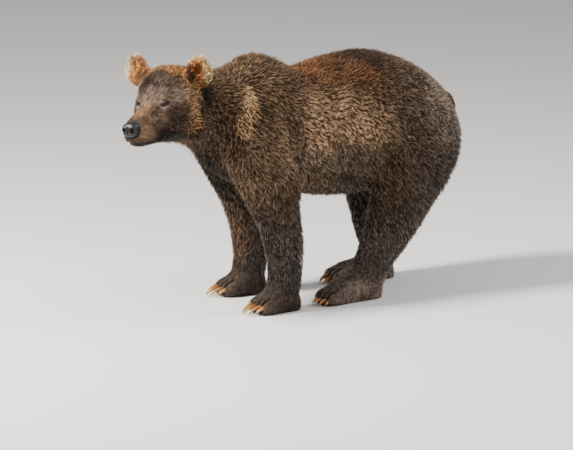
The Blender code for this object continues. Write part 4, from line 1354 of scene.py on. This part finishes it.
# %% Materials of the coat and the skin
BARE_SKIN = (0.014, 0.010, 0.010)


def coat_material():
    made, tree, shader = new_material("bear_coat")
    marks = with_markings(tree, 0.06, 0.95, 0.75)
    feed(tree, shader.inputs["Base Color"], marks["Colour"])
    feed(tree, shader.inputs["Roughness"], marks["Roughness"])
    shader.inputs["Specular IOR Level"].default_value = 0.20
    return made


def skin_material():
    made, tree, shader = new_material("bear_skin_underfur")
    marks = with_markings(tree, 0.30, 0.0, 0.0)
    grain = noise(tree, read(tree, "streak", "Vector"), 620.0, 3.0)["Fac"]
    hairs = scaled(tree, marks["Colour"], ranged(tree, grain, 0.35, 0.65, 0.55, 1.35))
    bare_mask = read(tree, "bare")
    feed(tree, shader.inputs["Base Color"], mixed(tree, bare_mask, hairs, BARE_SKIN))
    feed(tree, shader.inputs["Roughness"], ranged(tree, bare_mask, 0.2, 0.9, 0.85, 0.45))
    with_bump(tree, shader, grain, 0.8, 0.0015)
    shader.inputs["Specular IOR Level"].default_value = 0.18
    return made


finish(coats, coat_material())
finish([skin], skin_material())
print(len(coats), "pieces of coat and the skin have their finish")

# %% [markdown]
# ## Eyes
# An eyeball is nearly round, with a slightly steeper cornea in front. Only its front shows, so the iris
# and the pupil are painted by the angle from the way the eye looks. That angle is stored on the mesh.

# %% Make the eyeballs
CORNEA_ANGLE = math.radians(34)
CORNEA_RISE = 0.0010


def eyeball(side):
    bm = bmesh.new()
    bmesh.ops.create_uvsphere(bm, u_segments=40, v_segments=36, radius=eye_radius)
    mesh = bpy.data.meshes.new("eyeball_" + side)
    bm.to_mesh(mesh)
    bm.free()
    spots, _ = arrays_of(mesh)
    angle = np.arccos(np.clip(spots[:, 2] / eye_radius, -1, 1))
    rise = CORNEA_RISE * smoothstep(CORNEA_ANGLE, 0.0, angle)
    local = spots * (1 + rise / eye_radius)[:, None]
    gaze, across, up = eye_axes(side)
    world = local[:, 2:] * gaze + local[:, :1] * across + local[:, 1:2] * up
    move_points(mesh, world + np.array(eye_at[side]))
    give(mesh, angle=angle, place=local)
    shade_smooth(mesh)
    if np.linalg.det(np.array([across, up, gaze])) < 0:
        mesh.flip_normals()
    thing = in_scene("eyeball_" + side, mesh)
    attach(thing, "root")
    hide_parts("eye_" + side)
    return thing


eyeballs = [eyeball(side) for side in SIDES]
print(len(eyeballs), "eyeballs of", len(eyeballs[0].data.vertices), "points each")

# %% The eyes' finish: a dark amber iris round a black pupil
EYE_STOPS = ((0.00, (0.002, 0.002, 0.002)), (0.17, (0.002, 0.002, 0.002)), (0.22, (0.026, 0.011, 0.005)),
             (0.36, (0.048, 0.020, 0.008)), (0.44, (0.012, 0.006, 0.003)), (0.52, (0.014, 0.010, 0.008)))


def ramp(tree, share, stops):
    """Colours along a share from 0 to 1, as a table of places and colours gives them."""
    made = node(tree, "ShaderNodeValToRGB")
    feed(tree, made.inputs["Fac"], share)
    elements = made.color_ramp.elements
    while len(elements) < len(stops):
        elements.new(0.5)
    for element, (at, colour) in zip(elements, stops):
        element.position = at
        element.color = (*colour, 1.0)
    return made.outputs["Color"]


def eye_material():
    made, tree, shader = new_material("bear_eye")
    iris = ramp(tree, math_node(tree, "DIVIDE", read(tree, "angle"), math.pi / 2), EYE_STOPS)
    streaks = noise(tree, read(tree, "place", "Vector"), 900.0)["Fac"]
    fleck = ranged(tree, streaks, 0.3, 0.7, 0.7, 1.0)
    feed(tree, shader.inputs["Base Color"], mixed(tree, fleck, (0.0, 0.0, 0.0), iris))
    shader.inputs["Roughness"].default_value = 0.12
    shader.inputs["Specular IOR Level"].default_value = 0.15
    shader.inputs["Coat Weight"].default_value = 0.22
    shader.inputs["Coat Roughness"].default_value = 0.03
    return made


finish(eyeballs, eye_material())
print("iris from", round(EYE_STOPS[1][0] * 90), "to", round(EYE_STOPS[-1][0] * 90), "degrees off the gaze")

# %% [markdown]
# ## Rims of the eyes
# The edge of each lid is a narrow band of bare black skin. It is a thin tube that follows the almond
# round the eyeball, a little thicker above, and it also hides where the furred skin meets the eye.


# %% Sweep a tube along a path
def swept(name, centres, radii, sides, closed, flatten=1.0):
    """A tube through the centres. With closed, its end joins its start."""
    centres = np.asarray(centres, float)
    if closed:
        along = np.roll(centres, -1, axis=0) - np.roll(centres, 1, axis=0)
        out = centres - centres.mean(axis=0)
    else:
        along = np.gradient(centres, axis=0)
        out = np.tile((0.0, 0.0, 1.0), (len(centres), 1))
    along = unit(along)
    out = unit(out - (out * along).sum(axis=1)[:, None] * along)
    bm = bmesh.new()
    loops = []
    for centre, one, two, radius in zip(centres, out, np.cross(along, out), radii):
        loop = []
        for step in range(sides):
            angle = 2 * math.pi * step / sides
            offset = one * (math.cos(angle) * radius * flatten) + two * (math.sin(angle) * radius)
            loop.append(bm.verts.new(centre + offset))
        loops.append(loop)
    for one, two in [*zip(loops, loops[1:]), *([(loops[-1], loops[0])] if closed else [])]:
        for step in range(sides):
            after = (step + 1) % sides
            bm.faces.new((one[step], two[step], two[after], one[after]))
    if not closed:
        bm.faces.new(loops[0])
        bm.faces.new(loops[-1][::-1])
    bmesh.ops.recalc_face_normals(bm, faces=bm.faces)
    mesh = bpy.data.meshes.new(name)
    bm.to_mesh(mesh)
    bm.free()
    shade_smooth(mesh)
    return in_scene(name, mesh)


# %% Sweep the lid rims
RIM_STEPS = 56
RIM_SIDES = 8
RIM_THICK = {"up": 0.0023, "down": 0.0014}
RIM_OFF = 0.0009             # how far the middle of the rim stands off the eyeball


def lid_rim(side):
    turn = np.arange(RIM_STEPS) / RIM_STEPS * 2 * math.pi
    across = ALMOND_WIDE * np.cos(turn)
    high, low = almond(across)
    up = np.where(np.sin(turn) >= 0, high, -low)
    direction = np.column_stack([np.cos(up) * np.cos(across), np.cos(up) * np.sin(across), np.sin(up)])
    centres = np.array(eye_at[side]) + direction @ eye_axes(side) * (eye_radius + RIM_OFF)
    radii = np.where(np.sin(turn) >= 0, RIM_THICK["up"], RIM_THICK["down"])
    thing = swept("lid_rim_" + side, centres, radii, RIM_SIDES, closed=True)
    give(thing.data, place=arrays_of(thing.data)[0])
    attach(thing, "root")
    return thing


lid_rims = [lid_rim(side) for side in SIDES]
print(len(lid_rims), "rims of", RIM_STEPS, "steps")

# %% [markdown]
# ## The nose
# A bear's nose is a bare pad with a pebbled skin, two comma-shaped nostrils and a groove down the middle.
# It starts from the nose's own solid, remeshed finely, and is then pressed in where the nostrils are.

# %% The hollows of the nose pad
WING_SWELL = 0.0022          # the rim round a nostril
HOLE_DEPTH = 0.0115
SLIT_DEPTH = 0.0055
SLIT_PINCH = 0.004           # how far the slit cuts in from the side
GROOVE_DEPTH = 0.0022


def nose_shapes(beside, up):
    """Hole, slit, groove and wing of a nostril, each from 0 to 1, by place on the nose's front."""
    hole = np.exp(-(((beside - NOSTRIL[0]) / 0.0062) ** 2 + (up / 0.0085) ** 2) ** 1.5)
    # The slit curls from the hole to the side.
    slit = np.exp(-(((up + 0.0075 + 18.0 * (beside - 0.024) ** 2) / 0.0026) ** 2))
    slit *= smoothstep(0.015, 0.020, beside)
    groove = np.exp(-((beside / 0.0018) ** 2)) * smoothstep(0.012, -0.004, up)
    wing = np.exp(-(((np.hypot(beside - NOSTRIL[0], up) - 0.0115) / 0.0035) ** 2))
    return hole, slit, groove, wing


# %% Remesh and sculpt the nose pad
NOSE_VOXEL = 0.0014


def nose_pad():
    solid = to_head([vert.co for vert in nodes["nose"].data.vertices])
    centre = (solid.min(axis=0) + solid.max(axis=0)) / 2
    thing = even_object("nose_pad", ["nose"], NOSE_VOXEL)
    spots, links = arrays_of(thing.data)
    spots = relaxed(spots, links, 10, 0.5)
    place = to_head(spots)
    hole, slit, groove, wing = nose_shapes(np.abs(place[:, 1]), place[:, 2] - centre[2])
    front = smoothstep(-0.4, 0.4, (place[:, 0] - centre[0]) / (solid.max(axis=0)[0] - centre[0]))
    push = front * (WING_SWELL * wing - HOLE_DEPTH * hole - SLIT_DEPTH * slit - GROOVE_DEPTH * groove)
    place[:, 0] += push
    place[:, 1] -= np.sign(place[:, 1]) * SLIT_PINCH * slit * (1 - 0.6 * front)
    spots = relaxed(from_head(place), links, 1, 0.3)
    move_points(thing.data, spots)
    give(thing.data, place=spots, hollow=np.clip(hole + slit + groove, 0, 1))
    shade_smooth(thing.data)
    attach(thing, "root")
    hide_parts("nose")
    return thing


nose = nose_pad()
print("nose pad of", len(nose.data.vertices), "points")

# %% The finish of wet, pebbled black skin
NOSE_BLACK = (0.006, 0.005, 0.005)
NOSE_GREY = (0.018, 0.016, 0.017)
# The nostrils and the groove are painted darker still, as painted shade in the hollows.
NOSE_HOLLOW = (0.003, 0.003, 0.003)


def nose_material():
    made, tree, shader = new_material("bear_nose")
    place = read(tree, "place", "Vector")
    pebbles = node(tree, "ShaderNodeTexVoronoi", feature="DISTANCE_TO_EDGE")
    feed(tree, pebbles.inputs["Vector"], place)
    pebbles.inputs["Scale"].default_value = 620.0
    soft = noise(tree, place, 160.0)["Fac"]
    grey = mixed(tree, ranged(tree, soft, 0.35, 0.7), NOSE_BLACK, NOSE_GREY)
    hollow = ranged(tree, read(tree, "hollow"), 0.15, 0.6)
    feed(tree, shader.inputs["Base Color"], mixed(tree, hollow, grey, NOSE_HOLLOW))
    feed(tree, shader.inputs["Roughness"], ranged(tree, soft, 0.3, 0.7, 0.28, 0.46))
    with_bump(tree, shader, ranged(tree, pebbles.outputs["Distance"], 0.0, 0.35), 0.22, 0.0006)
    shader.inputs["Specular IOR Level"].default_value = 0.34
    return made


finish([nose], nose_material())
print("nose finished")

# %% The lids are of the same black skin, but dry and finely folded
LID_BLACK = (0.006, 0.005, 0.005)
LID_GREY = (0.020, 0.015, 0.014)


def lid_material():
    made, tree, shader = new_material("bear_lid")
    folds = noise(tree, read(tree, "place", "Vector"), 500.0)["Fac"]
    feed(tree, shader.inputs["Base Color"], mixed(tree, ranged(tree, folds, 0.35, 0.65), LID_BLACK, LID_GREY))
    feed(tree, shader.inputs["Roughness"], ranged(tree, folds, 0.3, 0.7, 0.42, 0.60))
    shader.inputs["Specular IOR Level"].default_value = 0.30
    return made


finish(lid_rims, lid_material())
print("lids finished")

# %% [markdown]
# ## Claws
# A grizzly's fore claws are long and only gently curved, for digging; the hind ones are short. Each is
# a tapered tube swept along a curve from its base to its tip, as its solid gives them.

# %% Sweep the claws, a piece for each of the twenty
CLAW_RINGS = 14
CLAW_SIDES = 12
CLAW_HALF_WIDTH = {"fore": 0.0064, "hind": 0.0052}
CLAW_ARCH = {"fore": 0.010, "hind": 0.005}
CLAW_TAPER = 0.92            # how much of its width a claw loses towards the tip
CLAW_DEEP = 1.25             # its depth against its width


def claw_path(base, tip, arch):
    """A curve that leaves the toe level, arches and then drops to the tip, and the share along it."""
    ahead = tip - base
    lift = np.array((0.0, 0.0, arch))
    one = base + np.array((ahead[0] * 0.40, ahead[1] * 0.40, 0.0)) + lift
    two = base + np.array((ahead[0] * 0.82, ahead[1] * 0.82, ahead[2] * 0.35)) + lift * 0.3
    t = np.linspace(0, 1, CLAW_RINGS)[:, None]
    return (1 - t) ** 3 * base + 3 * (1 - t) ** 2 * t * one + 3 * (1 - t) * t**2 * two + t**3 * tip, t[:, 0]


def claw(name, limb):
    path, share = claw_path(*claw_line(name), CLAW_ARCH[limb])
    thick = CLAW_HALF_WIDTH[limb] * (1 - CLAW_TAPER * share**2)
    thing = swept(name + "_horn", path, thick, CLAW_SIDES, closed=False, flatten=CLAW_DEEP)
    along = np.repeat(share, CLAW_SIDES)
    turn = np.tile(np.arange(CLAW_SIDES), CLAW_RINGS)
    give(thing.data, along=along, place=np.column_stack([along, turn, np.full(len(along), float(name[-1]))]))
    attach(thing, "root")
    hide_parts(name)
    return thing


claws = [claw(f"claw_{limb}_{side}_{number}", limb)
         for limb in ("fore", "hind") for side in SIDES for number in range(1, 6)]
print(len(claws), "claws of", len(claws[0].data.vertices), "points each")

# %% The finish of horn: dark at the base, amber along the claw, and streaked
HORN_STOPS = ((0.0, (0.080, 0.030, 0.010)), (0.35, (0.420, 0.170, 0.048)), (0.7, (0.640, 0.340, 0.120)),
              (1.0, (0.560, 0.390, 0.220)))
HORN_DARK = (0.05, 0.025, 0.012)


def horn_material():
    made, tree, shader = new_material("bear_claw_horn")
    amber = ramp(tree, read(tree, "along"), HORN_STOPS)
    streaks = noise(tree, read(tree, "place", "Vector"), 1.6, 4.0)["Fac"]
    shade = ranged(tree, streaks, 0.3, 0.7, 0.45, 1.0)
    feed(tree, shader.inputs["Base Color"], mixed(tree, shade, HORN_DARK, amber))
    feed(tree, shader.inputs["Roughness"], ranged(tree, streaks, 0.3, 0.7, 0.18, 0.32))
    return made


finish(claws, horn_material())
print("claws finished")

# %% [markdown]
# ## Stage, light and camera
# The bear stands on a plain pale floor under soft studio light: one large lamp high on the side the
# bear faces, a weak one opposite and one that lights its edge from behind, so that the shadows stay
# open. The lamps are placed from the camera's own directions, as they would be in a studio.

# %% Floor
FLOOR_HALF = 30.0
FLOOR_CORNERS = [(-FLOOR_HALF, -FLOOR_HALF, 0), (FLOOR_HALF, -FLOOR_HALF, 0), (FLOOR_HALF, FLOOR_HALF, 0),
                 (-FLOOR_HALF, FLOOR_HALF, 0)]
floor_mesh = bpy.data.meshes.new("floor")
floor_mesh.from_pydata(FLOOR_CORNERS, [], [(0, 1, 2, 3)])
floor = in_scene("floor", floor_mesh)
floor_finish, _, floor_shader = new_material("pale_floor")
floor_shader.inputs["Base Color"].default_value = (0.80, 0.80, 0.79, 1.0)
floor_shader.inputs["Roughness"].default_value = 0.9
finish([floor], floor_finish)
print("floor", 2 * FLOOR_HALF, "m wide")

# %% Directions of the view: back towards the camera, right and up
VIEW_TURN = math.radians(60)
VIEW_RISE = math.radians(12)
view_back = Vector((math.sin(VIEW_TURN) * math.cos(VIEW_RISE), -math.cos(VIEW_TURN) * math.cos(VIEW_RISE),
                    math.sin(VIEW_RISE)))
view_right = Vector((math.cos(VIEW_TURN), math.sin(VIEW_TURN), 0.0))
view_up = view_back.cross(view_right)
level_back = Vector((view_back.x, view_back.y, 0.0)).normalized()
print("the camera looks from", [round(value, 2) for value in view_back])

# %% Lamps: name, metres back, right and up from the bear's middle, size, power in watts, colour
LAMPS = (
    ("key", 1.4, -3.2, 3.4, 0.9, 680.0, (1.0, 0.95, 0.88)),
    ("fill", 2.8, 2.2, 1.6, 2.4, 60.0, (1.0, 0.97, 0.94)),
    ("rim", -0.6, 3.6, 3.0, 1.6, 110.0, (1.0, 0.97, 0.92)),
)
BEAR_MIDDLE = Vector((0.0, 0.0, 0.5))
for name, back, right, up, size, power, colour in LAMPS:
    offset = level_back * back + view_right * right + Vector((0, 0, up))
    lamp = bpy.data.lights.new(name, "AREA")
    lamp.size = size
    lamp.energy = power
    lamp.color = colour
    thing = in_scene(name, lamp)
    thing.location = BEAR_MIDDLE + offset
    thing.rotation_mode = "QUATERNION"
    thing.rotation_quaternion = (-offset).to_track_quat("-Z", "Y")
world = bpy.data.worlds.new("studio")
world.use_nodes = True
sky = world.node_tree.nodes["Background"]
sky.inputs["Color"].default_value = (0.95, 0.96, 0.98, 1.0)
sky.inputs["Strength"].default_value = 0.36
bpy.context.scene.world = world
print(len(LAMPS), "lamps")

# %% Camera
CAMERA_DISTANCE = 25.0
CAMERA_AIM = Vector((0.154, -0.0253, 0.0)) + view_right * -0.0319 + view_up * 0.3113
camera_data = bpy.data.cameras.new("camera")
camera_data.sensor_width = 36.0
camera_data.lens = 418.9
camera_data.clip_end = 200.0
camera = in_scene("camera", camera_data)
camera.location = CAMERA_AIM + view_back * CAMERA_DISTANCE
camera.rotation_mode = "QUATERNION"
camera.rotation_quaternion = (-view_back).to_track_quat("-Z", "Y")
bpy.context.scene.camera = camera
print("camera", round(camera_data.lens), "mm,", CAMERA_DISTANCE, "m away")
